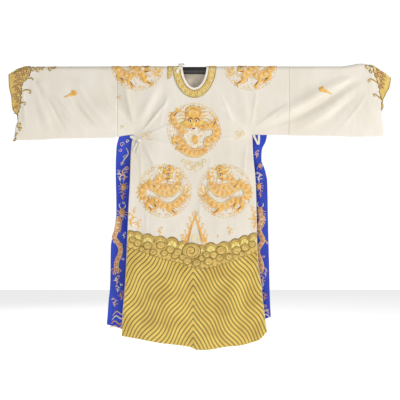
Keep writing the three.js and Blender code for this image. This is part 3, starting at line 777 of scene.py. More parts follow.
    def cloud(self, x: float, y: float, size: float, thread: Thread = GOLD, way: float = 1.0) -> None:
        """Lays a small cloud: three curls round a tail."""
        self.curl(x - 0.55 * size * way, y, 0.5 * size, thread, 0.22 * size, 1.3, np.pi / 2, way)
        self.curl(x + 0.35 * size * way, y - 0.15 * size, 0.55 * size, thread, 0.22 * size, 1.3, 0.0, -way)
        self.curl(x + 0.05 * size * way, y + 0.5 * size, 0.4 * size, thread, 0.2 * size, 1.2, np.pi, way)
        self.cord([(x, y + 0.6 * size), (x + 0.4 * size * way, y + 1.0 * size), (x + 1.1 * size * way,
                                                                                 y + 1.05 * size)],
                  0.2 * size, thread, 1.0)

    def drift(self, way: float) -> None:
        """Sews a filled cloud: three padded puffs with a curl on the largest, and a trailing tail."""
        self.pad(1.6 * way, 0.0, 3.2, 3.0, ORANGE, 1.8)
        self.pad(-1.6 * way, 1.2, 2.6, 1.9, ORANGE, 1.5)
        self.pad(0.4 * way, -1.8, 2.0, 1.7, ORANGE, 1.6)
        self.cord([(0.0, 2.0), (-4.2 * way, 2.4), (-9.0 * way, 4.4)], 2.4, ORANGE, 1.3, (0.2, 0.7))
        self.curl(1.8 * way, -0.2, 2.0, GOLD, 0.8, 0.9, 0.0, way, 1.1, 1.6)

    def sprig(self, x: float, y: float, height: float, thread: Thread = ORANGE, way: float = 1.0) -> None:
        """Lays a spray: a bent stem that ends in a curl, with side leaves."""
        h = height
        self.cord([(x, y), (x + 0.12 * h * way, y - 0.35 * h), (x - 0.05 * h * way, y - 0.72 * h),
                   (x + 0.16 * h * way, y - h)], 0.16 * h, thread, 1.3, (0.3, 0.5))
        self.curl(x + 0.27 * h * way, y - 0.93 * h, 0.15 * h, thread, 0.09 * h, 1.1, np.pi, way)
        for share, side in ((0.25, 1), (0.42, -1), (0.6, 1)):
            self.cord([(x + 0.05 * h * way, y - share * h), (x + 0.22 * h * side, y - (share + 0.1) * h),
                       (x + 0.34 * h * side, y - (share + 0.04) * h)], 0.1 * h, thread, 1.0, (0.2, 0.6))


@dataclass
class DragonWork:
    """Dragons and pearls of the round badges, in units of 5 mm from the badge's middle."""

    work: Embroidery
    stitch_count: int = 160
    stitch_reach: float = 24.6
    rim_radius: float = 25.8

    def stitches(self) -> None:
        """Fills the badge with small curved stitches.

        Each is a golden angle further round than the last and further out as the root of its
        number, and leans away from the way out by an angle that sways, so that the work is evenly
        dense.
        """
        threads = (WHITE, ORANGE, WHITE, GOLD, PINK)
        for k in range(self.stitch_count):
            angle = k * GOLDEN_ANGLE
            out = self.stitch_reach * math.sqrt((k + 0.5) / self.stitch_count)
            place = out * np.array([math.cos(angle), math.sin(angle)])
            lean = angle + 1.2 + 0.9 * math.sin(3.0 * angle + 0.2 * k)
            steps = [np.array([math.cos(a), math.sin(a)]) for a in (lean, lean + 0.9)]
            end = place + 1.5 * steps[0]
            self.work.cord([place, end, end + 1.3 * steps[1]], 1.05, threads[k % 5], 0.9, (0.2, 0.6))

    def body(self, points: list[Point], width: float, way: float = 1.0, thread: Thread = ORANGE) -> None:
        """Sews a stretch of body: a padded cord, a pale belly along one edge, scales and a fin.

        The belly and the fin follow the body's curve moved sideways by a share of its width.

        Args:
            points: The body's line.
            width: Its width.
            way: 1 with the fin on the line's left, -1 on its right.
            thread: The thread of its back and fin.
        """
        w = self.work
        w.cord(points, width, thread, 2.8, (0.16, 0.16), 0.3)
        line = curve_through(np.array(points, float), 2.6)
        tangent, left = directions(line)
        side = left * way
        w.cord(line - side * 0.34 * width, 0.2 * width, PALE, 1.1, (0.1, 0.1), 1.9)
        for k in range(1, len(line) - 1):
            root, out, on = line[k] + side[k] * 0.4 * width, side[k] * width, tangent[k] * 2.6
            w.cord([root, root + 0.22 * out + 0.3 * on, root + 0.38 * out + 0.9 * on], 1.2, thread, 1.2,
                   (0.1, 0.7), 0.8)
            w.cord([root + 0.35 * on, root + 0.2 * out + 0.7 * on, root + 0.34 * out + 1.2 * on], 0.7, WHITE,
                   1.2, (0.1, 0.7), 0.8)
            middle = line[k] + side[k] * 0.06 * width
            w.cord([middle - 0.27 * out, middle + 0.5 * on, middle + 0.29 * out], 0.75,
                   RUST if k % 2 else WHITE, 0.7, (0.3, 0.3), 2.7)

    def leg(self, points: list[Point], width: float = 3.8) -> None:
        """Sews a leg with a claw: three orange talons, and a dark stroke along the leg."""
        w = self.work
        w.cord(points, width, ORANGE, 2.4, (0.1, 0.3), 1.2)
        end = np.array(points[-1], float)
        way = end - np.array(points[-2], float)
        base = math.atan2(way[1], way[0])
        for turn in (-0.8, 0.0, 0.8):
            tip = end + 2.2 * np.array([math.cos(base + turn), math.sin(base + turn)])
            hook = end + 4.0 * np.array([math.cos(base + turn + 0.35), math.sin(base + turn + 0.35)])
            w.cord([end, tip, hook], 1.3, ORANGE, 1.4, (0.1, 0.5), 1.0)
        middle = np.array(points[len(points) // 2], float) + [1.1, 0.2]
        w.cord([middle, (middle + end) / 2 + [0.9, 0.3], end + [0.9, 0.6]], 0.85, BROWN, 1.2, (0.4, 0.4),
               3.2)

    def front_head(self, x: float, y: float) -> None:
        """Sews a dragon's head seen from the front: domed brow, horns, eyes, muzzle, teeth and mane."""
        w = self.work
        w.pad(x, y - 6.4, 9.6, 9.4, ORANGE, 2.4, 0.0, 0.4)
        for way in (-1.0, 1.0):
            start, end = (math.pi - 0.5, math.pi + 1.0) if way < 0 else (0.5, -1.0)
            w.strokes(x, y - 1, 8.6, 18.4, start, end, 12, (WHITE, GOLD), 1.35, 0.14 * way)
            w.pad(x + 5.6 * way, y + 2.2, 5.0, 5.2, ORANGE, 2.4, 0.0, 0.8)
            w.pad(x + 9.4 * way, y + 3.4, 4.4, 3.8, GOLD, 2.0, 0.0, 0.6)
            w.cord([(x + 5.2 * way, y - 5), (x + 7.4 * way, y - 9.0), (x + 7.2 * way, y - 12.4)], 1.3, RUST,
                   1.4, (0.2, 0.7), 2.2)
            w.curl(x + 7.6 * way, y + 1.6, 2.0, BRIGHT, 0.9, 1.1, 0.0, way, 1.2, 2.8)
        w.pad(x, y + 0.6, 6.4, 7.4, ORANGE, 2.6, 0.0, 1.4)
        arch = np.linspace(math.pi + 0.25, 2 * math.pi - 0.25, 9)
        for radius, thread, width in ((8.4, BRIGHT, 0.8), (6.2, RUST, 0.5), (4.4, BRIGHT, 0.9)):
            path = arc(x, y - 5.6, radius, 1.06 * radius, arch)
            w.cord(path, width, thread, 0.9, (0.1, 0.1), 2.6)
        for way in (-1.0, 1.0):
            ex = x + 2.9 * way
            w.cord([(ex - 2.2 * way, y - 1.2), (ex - 0.8 * way, y - 2.8), (ex + 1.0 * way, y - 2.7),
                    (ex + 3.0 * way, y - 0.2)], 0.95, BROWN, 1.1, (0.2, 0.4), 3.9)
            w.pad(ex, y - 0.3, 1.7, 1.5, WHITE, 1.0, 0.0, 3.7)
            w.pad(ex - 0.2, y - 0.1, 0.95, 1.05, DARK, 0.8, 0.0, 4.4)
            w.cord([(x + 1.2 * way, y + 5.0), (x + 4.2 * way, y + 4.6), (x + 6.4 * way, y + 7.4)], 0.9,
                   RUST, 1.1, (0.1, 0.6), 3.4)
            w.strokes(x + 4.0 * way, y + 8.5, 1.0, 5.6, 1.3 if way > 0 else math.pi - 1.3,
                      0.0 if way > 0 else math.pi, 5, (WHITE, GOLD), 0.9)
            for dx, dy, thread in ((4.4, -9.6, WHITE), (1.8, -12.6, RUST), (7.2, -2.6, WHITE),
                                   (8.8, 4.2, RUST)):
                w.curl(x + dx * way, y + dy, 1.5, thread, 0.6, 0.9, 0.6, way, 0.9, 3.1)
        w.pad(x, y + 3.4, 1.5, 2.6, BRIGHT, 1.4, 0.0, 3.4)
        w.pad(x, y + 7.6, 3.6, 2.0, WHITE, 1.2, 0.0, 2.6)
        w.pad(x, y + 7.5, 1.9, 0.95, RED, 0.8, 0.0, 3.5)

    def side_head(self, x: float, y: float) -> None:
        """Sews a head turned aside: brow, two eyes, muzzle, open mouth, horn, beard and mane."""
        w = self.work
        w.strokes(x - 2, y + 1, 3.4, 11.6, math.pi - 0.9, math.pi + 1.0, 9, (GOLD, WHITE), 1.4, 0.2)
        w.strokes(x + 2.6, y + 1, 4.0, 12.0, -0.95, 0.8, 9, (GOLD, WHITE, ORANGE), 1.3, 0.18)
        w.pad(x - 1.4, y + 0.2, 5.2, 7.2, ORANGE, 2.6, 0.15, 0.6)
        w.pad(x + 0.4, y - 4.8, 4.4, 3.4, ORANGE, 1.8, 0.1, 2.0)
        w.cord([(x - 3.2, y - 3.6), (x - 6.6, y - 5.4), (x - 9.0, y - 4.6)], 1.5, BRIGHT, 1.5, (0.1, 0.7),
               1.6)
        w.pad(x + 1.6, y + 4.0, 2.6, 1.9, GOLD, 1.6, 0.4, 2.0)
        w.pad(x - 3.9, y + 2.2, 1.6, 1.3, WHITE, 1.0, 0.3, 2.8)
        w.pad(x + 1.4, y + 6.2, 3.0, 1.5, WHITE, 1.2, 0.2, 2.6)
        for dx, dy, thread in ((-4.8, 2.6, WHITE), (-4.4, -1.6, RUST), (-1.6, -6.4, WHITE),
                               (2.0, -6.0, RUST), (-3.4, 6.0, BRIGHT)):
            w.curl(x + dx, y + dy, 1.5, thread, 0.6, 0.9, 0.6, 1.0, 0.9, 3.2)
        for ex, ey in ((x + 0.8, y - 3.2), (x - 0.2, y + 1.4)):
            w.cord([(ex - 2.0, ey + 0.2), (ex - 0.6, ey - 1.7), (ex + 1.8, ey - 1.2)], 0.75, BROWN, 1.0,
                   (0.2, 0.5), 3.5)
            w.pad(ex, ey, 1.45, 1.2, WHITE, 1.0, 0.0, 3.4)
            w.pad(ex + 0.2, ey + 0.1, 0.85, 0.9, DARK, 0.8, 0.0, 4.1)
        w.cord([(x - 2.6, y + 4.4), (x - 0.6, y + 5.6), (x + 2.0, y + 5.0)], 0.9, RED, 0.9, (0.3, 0.3), 4.0)
        w.strokes(x + 1.6, y + 6.5, 0.6, 5.4, -0.2, 1.6, 6, (WHITE, PINK), 1.1)

    def pearl(self, x: float, y: float, rx: float, ry: float) -> None:
        """Sews a pearl in flames: tongues of flame, an orange pad, a pale rim and a bright curl."""
        w = self.work
        angle = np.linspace(0, 2 * np.pi, 15)
        w.strokes(x, y, min(rx, ry) * 0.95, max(rx, ry) * 1.35, 0.0, 2 * math.pi * 15 / 16, 16,
                  (WHITE, WHITE, BRIGHT), 1.5, 0.2)
        w.pad(x, y, rx * 0.8, ry * 0.8, ORANGE, 2.0, 0.0, 0.8)
        w.cord(arc(x, y, rx * 0.85, ry * 0.85, angle), 0.8, WHITE, 1.2, (0.01, 0.01), 1.2)
        w.curl(x, y, 1.4, BRIGHT, 0.6, 1.1, 0.0, 1.0, 1.0, 2.4)

    def rim(self) -> None:
        """Sews the badge's rim: a broken ring, and a row of small scallops inside it."""
        self.work.broken_ring(self.rim_radius, 0.7, GOLD, 44)
        for k in range(36):
            angle = 2 * math.pi * (k + 0.5) / 36
            turn = np.array([angle - 0.075, angle, angle + 0.075])
            reach = self.rim_radius - np.array([0.6, 2.6, 0.6])
            self.work.cord(arc(0.0, 0.0, reach, reach, turn), 0.75, ORANGE if k % 3 else WHITE,
                           0.9, (0.2, 0.2), 0.4)

    def chest_badge(self) -> None:
        """Sews the badge on the chest: a dragon that looks straight ahead, coiled round a pearl."""
        self.rim()
        self.stitches()
        self.body([(-18.4, -18.4), (-21.0, -12.4), (-17.4, -6.0), (-12.0, -0.6), (-7.0, 3.6)], 6.4)
        self.body([(12.0, 18.0), (8.4, 22.0), (0.8, 24.0), (-6.8, 22.0), (-11.4, 17.0), (-14.4, 11.2),
                   (-20.4, 5.0)], 8.0)
        self.body([(6.0, -1.6), (13, -3.2), (19.2, -3.6), (22.2, 2.4), (19.6, 8.2), (13.4, 10.6), (12.6, 15),
                   (12.0, 18.0)], 7.4, -1.0)
        self.leg([(-19.4, 7.4), (-20.4, 11.5), (-16.4, 14.0)])
        self.leg([(-10.2, 15.2), (-12.2, 19.6), (-15.4, 18.6)])
        self.leg([(13, -2.0), (17.8, -4.6), (21.0, -9.6)])
        self.leg([(-20.6, -9), (-21.6, -13.8), (-17.5, -18.5)], 3.0)
        self.pearl(0.9, 9.6, 3.8, 5.6)
        self.work.curl(20.4, 11.0, 3.2, WHITE, 1.3, 1.2, 0.4, 1.0, 1.2, 0.6)
        self.front_head(-0.2, -8.8)

    def side_badge(self) -> None:
        """Sews a badge whose dragon turns its head aside, over an S-shaped body and a tail."""
        self.rim()
        self.stitches()
        self.body([(1.0, -14), (-5.5, -13.5), (-8.4, -8.6), (-5.0, -3.6), (2.0, -3.0), (7.0, -6.4)], 6.6,
                  -1.0)
        self.body([(14.6, -10), (13.0, -5.0), (8.6, 0.6), (1.0, 3.0), (-6.6, 0.2), (-12.0, -4.2),
                   (-18.4, -4.2), (-22.0, 0.6), (-20.4, 6.8), (-14.0, 8.4)], 8.0)
        self.body([(-14.0, 8.4), (-8.8, 8.6), (-3.0, 12.6), (3.6, 15.0), (10.6, 12.6), (16.6, 7.6),
                   (20.6, 2.8)], 7.0)
        self.leg([(-16.0, -11.6), (-13.4, -6.8), (-9.6, -3.4)])
        self.leg([(-13.0, 7.6), (-12.4, 11.6), (-9.4, 15.4)])
        self.leg([(3.0, 14.0), (5.0, 18.6), (9.6, 21.4)])
        self.leg([(-15.6, 10.4), (-17.6, 15.4), (-13.6, 18.4)])
        self.work.strokes(18.0, 3.4, 0.5, 9.6, -1.8, 0.8, 11, (ORANGE, WHITE, GOLD), 1.5, -0.2)
        self.work.curl(15.6, -14.0, 2.6, ORANGE, 1.4, 1.2, 0.4, 1.0, 1.2, 0.6)
        self.side_head(4.2, -17.2)

    def shoulder_badge(self) -> None:
        """Sews a badge whose dragon looks over the shoulder line, with its coils on both sides of it."""
        self.rim()
        self.stitches()
        self.body([(-22.0, -9), (-22.4, 1), (-17.0, 9.0), (-8.6, 12.4), (-2.0, 9.6)], 7.6, -1.0)
        self.body([(14.6, -9), (18.4, -14.4), (12.0, -20.4), (0.0, -21.4), (-9.6, -17.6), (-14.4, -10.0)],
                  7.0)
        self.body([(-6.0, -13), (-9.4, -6.4), (-5.6, 0.4), (1.0, 4.2), (4.4, 10.4), (9.8, 14.6)], 7.4)
        self.leg([(-18.6, 9.0), (-18.8, 13.4), (-14.6, 16.6)])
        self.leg([(-8.6, 12.4), (-8.8, 17.4), (-5.4, 21.4)])
        self.leg([(5.0, 12.0), (8.0, 17.2), (12.4, 19.2)])
        self.leg([(-2.0, -20.0), (2.0, -15.4), (6.4, -13.4)])
        self.work.strokes(17.0, 9.0, 0.6, 9.0, -1.6, 0.9, 9, (WHITE, ORANGE, GOLD), 1.2, -0.2)
        self.side_head(9.6, 2.4)


@dataclass
class WaveHem:
    """The wave band and the standing water under it, on the front or the back of the skirt."""

    ground: Ground
    side: Side
    cell: float = 3.0
    middle: float = -6.0
    pitch: float = 32.5
    slant: float = 1.5
    sway: float = 14.0
    sway_length: float = 230.0
    drift: float = 0.8
    groove: float = 0.16
    lower: Table = Table(((-360, -866), (-317, -882), (-222, -912), (-172, -930), (-72, -955),
                          (-12, -977), (45, -981), (87, -976), (137, -961), (187, -948), (227, -931),
                          (267, -914), (330, -888)))
    upper: Table = Table(((-345, -800), (-287, -812), (-170, -832), (-60, -856), (0, -868), (70, -868),
                          (150, -858), (205, -846), (250, -832), (297, -815), (330, -800)))

    def skirt_grid(self, top: Table, bottom: Table | None, cell: float) -> tuple[Array, Array]:
        """Places across and heights of a grid over the skirt, from side to side.

        Each column runs from the top curve to the bottom curve, or to the hem, and each row keeps
        its share of the way between the side edges.

        Args:
            top: Height of the upper edge.
            bottom: Height of the lower edge, or None for the hem.
            cell: Size of a cell.

        Returns:
            x and z, rows by columns.
        """
        across = np.linspace(0.0, 1.0, int(SKIRT_WIDE / cell) + 1)[None, :]
        hem_x = lerp(*HEM_ENDS, across)
        low = HEM.at(hem_x) + self.side.hem_lift if bottom is None else bottom.at(lerp(-345.0, 318.0,
                                                                                       across))
        high = top.at(lerp(-340.0, 315.0, across))
        share = np.linspace(0.0, 1.0, int(float((high - low).mean()) / cell) + 1)[:, None]
        z = lerp(high, low, share)
        return lerp(LEFT_EDGE.at(z) + self.side.inset, RIGHT_EDGE.at(z) - self.side.inset, across), z

    def phase(self, x: Array, z: Array) -> Array:
        """Which stripe a place is in.

        The height below the shoulder less a slant away from the middle, less a sine sway that
        drifts towards the middle further down and fades near it, over the pitch.
        """
        away, down = np.abs(x - self.middle), -z
        sway = self.sway * np.sin(2 * np.pi * (away + self.drift * down) / self.sway_length + 0.29)
        sway = sway * (0.15 + 0.85 * smooth(away / 110.0))
        return (down - self.slant * away - sway) / self.pitch

    def places(self, x: Array, z: Array) -> Array:
        """Places on the robe, across and down over the shoulder line, of a grid on this side."""
        return np.stack([x, -z + QUARTER], -1) * [1.0, -self.side.sign]

    def water(self) -> MeshParts:
        """Sews the slanting stripes: one relief whose grooves lie where the phase is whole.

        The height is 0.5 mm in a groove and 1.7 mm on a stripe, with an S-curve between them.
        """
        x, z = self.skirt_grid(self.lower, None, self.cell)
        phase = self.phase(x, z)
        beside = 0.5 - np.abs(phase - np.floor(phase) - 0.5)
        tall = 0.5 + 1.2 * smooth(beside / self.groove)
        along = (0.64 * np.abs(x - self.middle) - 0.77 * z) / MAP_UNIT
        return self.ground.sheet(self.places(x, z), tall, UNDERSIDE, np.stack([along, phase], -1))

    def base(self) -> MeshParts:
        """Sews the gold ground of the wave band, from under its scallops to the stripes."""
        x, z = self.skirt_grid(self.upper, self.lower, 8.0)
        return self.ground.sheet(self.places(x, z), 0.9, UNDERSIDE, np.stack([x, z], -1) / MAP_UNIT)

    def dome(self, work: Embroidery, x: float, y: float, wide: float, tall: float) -> None:
        """Sews one scale-like wave: a gold pad, a bright one on it, three dark arches and two rays."""
        work.pad(x, y + tall, wide / 2, tall, GOLD, 1.2, 0.0, 0.6, 0.3)
        work.pad(x, y + tall, wide * 0.34, tall * 0.68, BRIGHT, 0.9, 0.0, 1.3, 0.3)
        t = np.linspace(math.pi, 2 * math.pi, 11)
        for share, width in ((0.98, 0.5), (0.82, 0.36), (0.66, 0.36)):
            path = arc(x, y + tall, wide / 2 * share, tall * share, t)
            work.cord(path, width, OUTLINE, 0.8, (0.05, 0.05), 2.0 - share)
        for k in range(2):
            a = math.pi * (1.36 + 0.28 * k)
            tip = (x + wide * 0.31 * math.cos(a), y + tall + tall * 0.62 * math.sin(a))
            work.cord([(x, y + tall), tip], 0.4, OUTLINE, 0.6, (0.1, 0.4), 2.0, True)

    def roll(self, work: Embroidery, x: float, y: float, radius: float, way: float) -> None:
        """Sews one rolled wave: a gold disc with two dark rings round a bright and a dark spiral."""
        work.pad(x, y, radius, radius * 0.86, GOLD, 1.4, 0.0, 2.5)
        t = np.linspace(0, 2 * np.pi, 17)
        for share, width in ((0.98, 0.42), (0.76, 0.3)):
            ring = arc(x, y, radius * share, 0.86 * radius * share, t)
            work.cord(ring, width, OUTLINE, 0.8, (0.01, 0.01), 2.9 + 1.4 * (1.0 - share))
        work.curl(x, y, radius * 0.6, BRIGHT, 0.9, 1.1, way, way, 0.8, 3.7)
        work.curl(x, y, radius * 0.5, OUTLINE, 0.36, 1.5, way + 1.2, way, 0.8, 4.1)

    def waves(self, work: Embroidery) -> None:
        """Sews the wave band: a row of scales, rolled waves under them and a scalloped lower edge."""
        tops = ((-320, 829), (-288, 833), (-233, 845), (-169, 856), (-111, 861), (-58, 880), (35, 904),
                (81, 888), (147, 883), (205, 869), (250, 853), (296, 841))
        for x, y in tops:
            self.dome(work, x / 5, y / 5, 14.4, 9.0)
        lower_x = np.arange(-318.0, 312.0, 21.0)
        lower_z = -self.lower.at(lower_x) + QUARTER
        for x, y in zip(lower_x, lower_z):
            t = np.linspace(0.05, math.pi - 0.05, 7)
            work.pad(x / 5, y / 5 - 1.2, 2.9, 2.6, GOLD, 1.2, 0.0, 1.0)
            work.cord(arc(x / 5, y / 5 - 1.2, 2.8, 2.5, t), 0.6, OUTLINE, 0.9, (0.1, 0.1), 1.4)
        rolls = ((-310, 876, 3.6), (-283, 892, 4.2), (-233, 906, 4.8), (-168, 903, 4.6), (-120, 925, 4.5),
                 (-84, 937, 4.2), (59, 950, 4.1), (95, 951, 4.4), (133, 930, 5.4), (210, 930, 4.9),
                 (253, 915, 4.6), (286, 898, 4.0), (-205, 938, 3.9), (-150, 942, 3.8), (-97, 956, 3.9),
                 (-36, 982, 4.4), (10, 992, 4.4), (70, 984, 4.6), (125, 966, 4.2), (172, 961, 4.2),
                 (235, 947, 3.3), (-262, 922, 3.2), (37, 968, 3.6), (-60, 962, 3.6))
        for k, (x, y, radius) in enumerate(rolls):
            self.roll(work, x / 5, y / 5, radius, 1.0 if k % 2 else -1.0)
        self.roll(work, -15 / 5, 932 / 5, 9.6, 1.0)
        work.curl(-3.0, 186.4, 6.6, OUTLINE, 0.5, 1.7, 0.4, 1.0, 0.8, 4.3)

    def sprays(self, work: Embroidery) -> None:
        """Sews the flames over the middle of the waves and the small sprays beside them."""
        x = 0.6
        for way in (-1.0, 1.0):
            work.cord([(x + 8.2 * way, 179), (x + 6.4 * way, 172), (x + 4.4 * way, 164),
                       (x + 2.0 * way, 157.5), (x + 0.4 * way, 152)], 3.2, ORANGE, 1.8, (0.1, 0.5))
            work.cord([(x + 7.0 * way, 178), (x + 5.2 * way, 170), (x + 3.0 * way, 162)], 1.3, RUST, 0.9,
                      (0.1, 0.6), 1.9)
            for dx, dy, r in ((5.6, 153.5, 1.8), (8.0, 160, 1.8), (10.4, 166.5, 1.7), (12.6, 171, 1.5),
                              (3.0, 148.5, 1.6)):
                work.curl(x + dx * way, dy, r, ORANGE, 0.8, 1.0, math.pi / 2, way)
                work.cord([(x + (dx - 4.2) * way, dy + 6.5), (x + (dx - 1.6) * way, dy + 3.6),
                           (x + dx * way, dy + r)], 1.8, ORANGE, 1.4, (0.1, 0.5))
            work.cord([(x + 11.4 * way, 180), (x + 10.4 * way, 175), (x + 8.0 * way, 171)], 2.2, ORANGE, 1.4)
            work.cord([(x + 2.6 * way, 180), (x + 3.0 * way, 174), (x + 0.6 * way, 169)], 1.2, BRIGHT, 1.4)
        work.cord([(x, 156), (x + 0.5, 150), (x - 0.2, 145.0)], 1.8, ORANGE, 1.6, (0.2, 0.7), 0.4)
        spots = ((-56.5, 165, 11, 1), (-35, 171, 9.5, 1), (-12.0, 176, 7, -1), (23.5, 174, 5, -1),
                 (35.6, 171, 10, -1), (60, 165, 9, -1), (-62, 163, 17, -1), (59.5, 163, 20, 1),
                 (-60.5, 150, 8, 1), (58, 148, 8, -1))
        for x, y, height, way in spots:
            work.sprig(x, y, 0.85 * height, ORANGE, way)


@dataclass
class Cloth:
    """The robe's own cloth: front, back and two sleeves, as closed walls of even thickness."""

    drape: Drape
    neck_half: float = 66.0
    neck_front: float = 125.0
    neck_back: float = 33.0

    def shell(self, name: str, points: Array, keep: Array | None, closed: bool, finishes: Finishes) -> Piece:
        """Makes a wall whose faces lie half the cloth's thickness off the grid, lined inside."""
        normals = grid_normals(points, closed)
        outwards = np.sign(np.sum(normals[..., 1] * points[..., 1]))
        half = normals * outwards * CLOTH / 2
        parts = MeshParts()
        wall(parts, points + half, points - half, keep, closed, finishes=(0, 1))
        # The inner side takes the lining, pinkish cream lightened as painted light for the shaded inside.
        return parts.build(name, [finishes.satin, finishes.lining], "satin")

    def panel(self, side: Side, cell: float) -> tuple[Array, Array]:
        """The grid of the front or the back, and which of its cells are cloth.

        Rows run over the rod's turn, down to the underarm seam and down the skirt to the hem. Cells
        beyond the underarms exist only above the seam. Points inside the neck's curve are moved out
        onto it, along the line from the neck's middle, and cells wholly inside it are left out.

        Args:
            side: Front or back.
            cell: Size of a cell.

        Returns:
            Points, and the mask of kept cells.
        """
        arm = np.linspace(LEFT_SEAM, UNDERARM_LEFT, int((UNDERARM_LEFT - LEFT_SEAM) / cell) + 1)[:-1]
        body = np.linspace(UNDERARM_LEFT, UNDERARM_RIGHT, int(SKIRT_WIDE / cell) + 1)
        other = np.linspace(UNDERARM_RIGHT, RIGHT_SEAM, int((RIGHT_SEAM - UNDERARM_RIGHT) / cell) + 1)[1:]
        x = np.concatenate([arm, body, other])[None, :]
        quarter = QUARTER
        turn = np.linspace(0.0, quarter, 9)[:-1, None] + 0.0 * x
        share = np.linspace(0.0, 1.0, int(-UNDERARM_Z / cell) + 1)[:, None]
        upper = quarter - lerp(0.0, UNDERARM.at(x), share)
        across = np.clip((x - UNDERARM_LEFT) / (UNDERARM_RIGHT - UNDERARM_LEFT), 0.0, 1.0)
        hem_z = HEM.at(lerp(*HEM_ENDS, across)) + side.hem_lift
        rows = np.linspace(0.0, 1.0, int(SKIRT_LONG / cell) + 1)[1:, None]
        z = lerp(UNDERARM_Z, hem_z, rows**1.15)
        inset = side.inset * smooth((UNDERARM_Z - z) / 100.0)
        skirt_x = lerp(LEFT_EDGE.at(z) + inset, RIGHT_EDGE.at(z) - inset, across)
        grid_x = np.concatenate([x + 0.0 * turn, x + 0.0 * upper, skirt_x])
        down = np.concatenate([turn, upper, quarter - z])
        deep = self.neck_front if side is FRONT else self.neck_back
        reach = np.hypot(grid_x / self.neck_half, down / deep)
        inside = reach < 1.0
        keep = ~(inside[:-1, :-1] & inside[1:, :-1] & inside[1:, 1:] & inside[:-1, 1:])
        used = np.zeros_like(inside)
        used[:-1, :-1] |= keep
        used[1:, :-1] |= keep
        used[1:, 1:] |= keep
        used[:-1, 1:] |= keep
        grow = np.where(inside & used, 1.0 / np.maximum(reach, 0.2), 1.0)
        top = down <= 0.0
        edge = self.neck_half * np.sqrt(np.clip(1.0 - (down / deep) ** 2, 0.0, 1.0))
        grid_x = np.where(top & inside & used, np.sign(grid_x) * edge, grid_x * np.where(top, 1.0, grow))
        down = np.where(top, down, down * grow)
        skirt = np.arange(len(turn) + len(upper) + len(z))[:-1, None] >= len(turn) + len(upper) - 1
        first, last = len(arm), len(arm) + len(body) - 1
        column = np.arange(x.shape[1] - 1)[None, :]
        keep = keep & ~(skirt & ((column < first) | (column >= last)))
        return self.drape.on_side(side, grid_x, down), keep

    def sleeve(self, seam: float, cuff: Table, cell: float) -> Array:
        """The grid of a sleeve: rings from the shoulder seam to the cuff.

        Each ring goes round: a quarter circle over the rod and straight down to the seam on the
        front, then up again on the back, where x runs from the seam to the cuff at that level.

        Args:
            seam: Where the sleeve is sewn on.
            cuff: The cuff's edge, from the top to the seam.
            cell: Size of a cell.

        Returns:
            Points, rings by places.
        """
        levels = np.linspace(0.0, 1.0, int(SLEEVE_DEEP / cell) + 1)
        turns = np.linspace(0.0, 1.0, 9)[:-1]
        turn = np.concatenate([turns, np.ones(len(levels) + 1 + len(levels)), turns[:0:-1]])
        level = np.concatenate([0.0 * turns, levels, [1.0], levels[::-1], 0.0 * turns[1:]])
        sign = np.concatenate([-np.ones(len(turns) + len(levels)), [0.0],
                               np.ones(len(levels) + len(turns) - 1)])
        steps = np.linspace(0.0, 1.0, int(abs(cuff.at(0.0) - seam) / cell) + 1)[:, None]
        x = lerp(seam, cuff.at(level)[None, :], steps)
        axis, radius, low = AXIS.at(x), RADIUS.at(x), UNDERARM.at(x)
        z = lerp(axis, low, level[None, :])
        hang = np.where(sign[None, :] < 0, self.drape.half_depth(FRONT, x, z), self.drape.half_depth(BACK,
                                                                                                     x,
                                                                                                     z))
        over = (turn < 1.0)[None, :]
        depth = np.where(over, radius * np.sin(turn * np.pi / 2), hang)
        z = np.where(over, axis + radius * np.cos(turn * np.pi / 2), z)
        z = np.where((sign == 0.0)[None, :], low - CLOSED, z)
        return np.stack([x, sign * depth, z], -1)


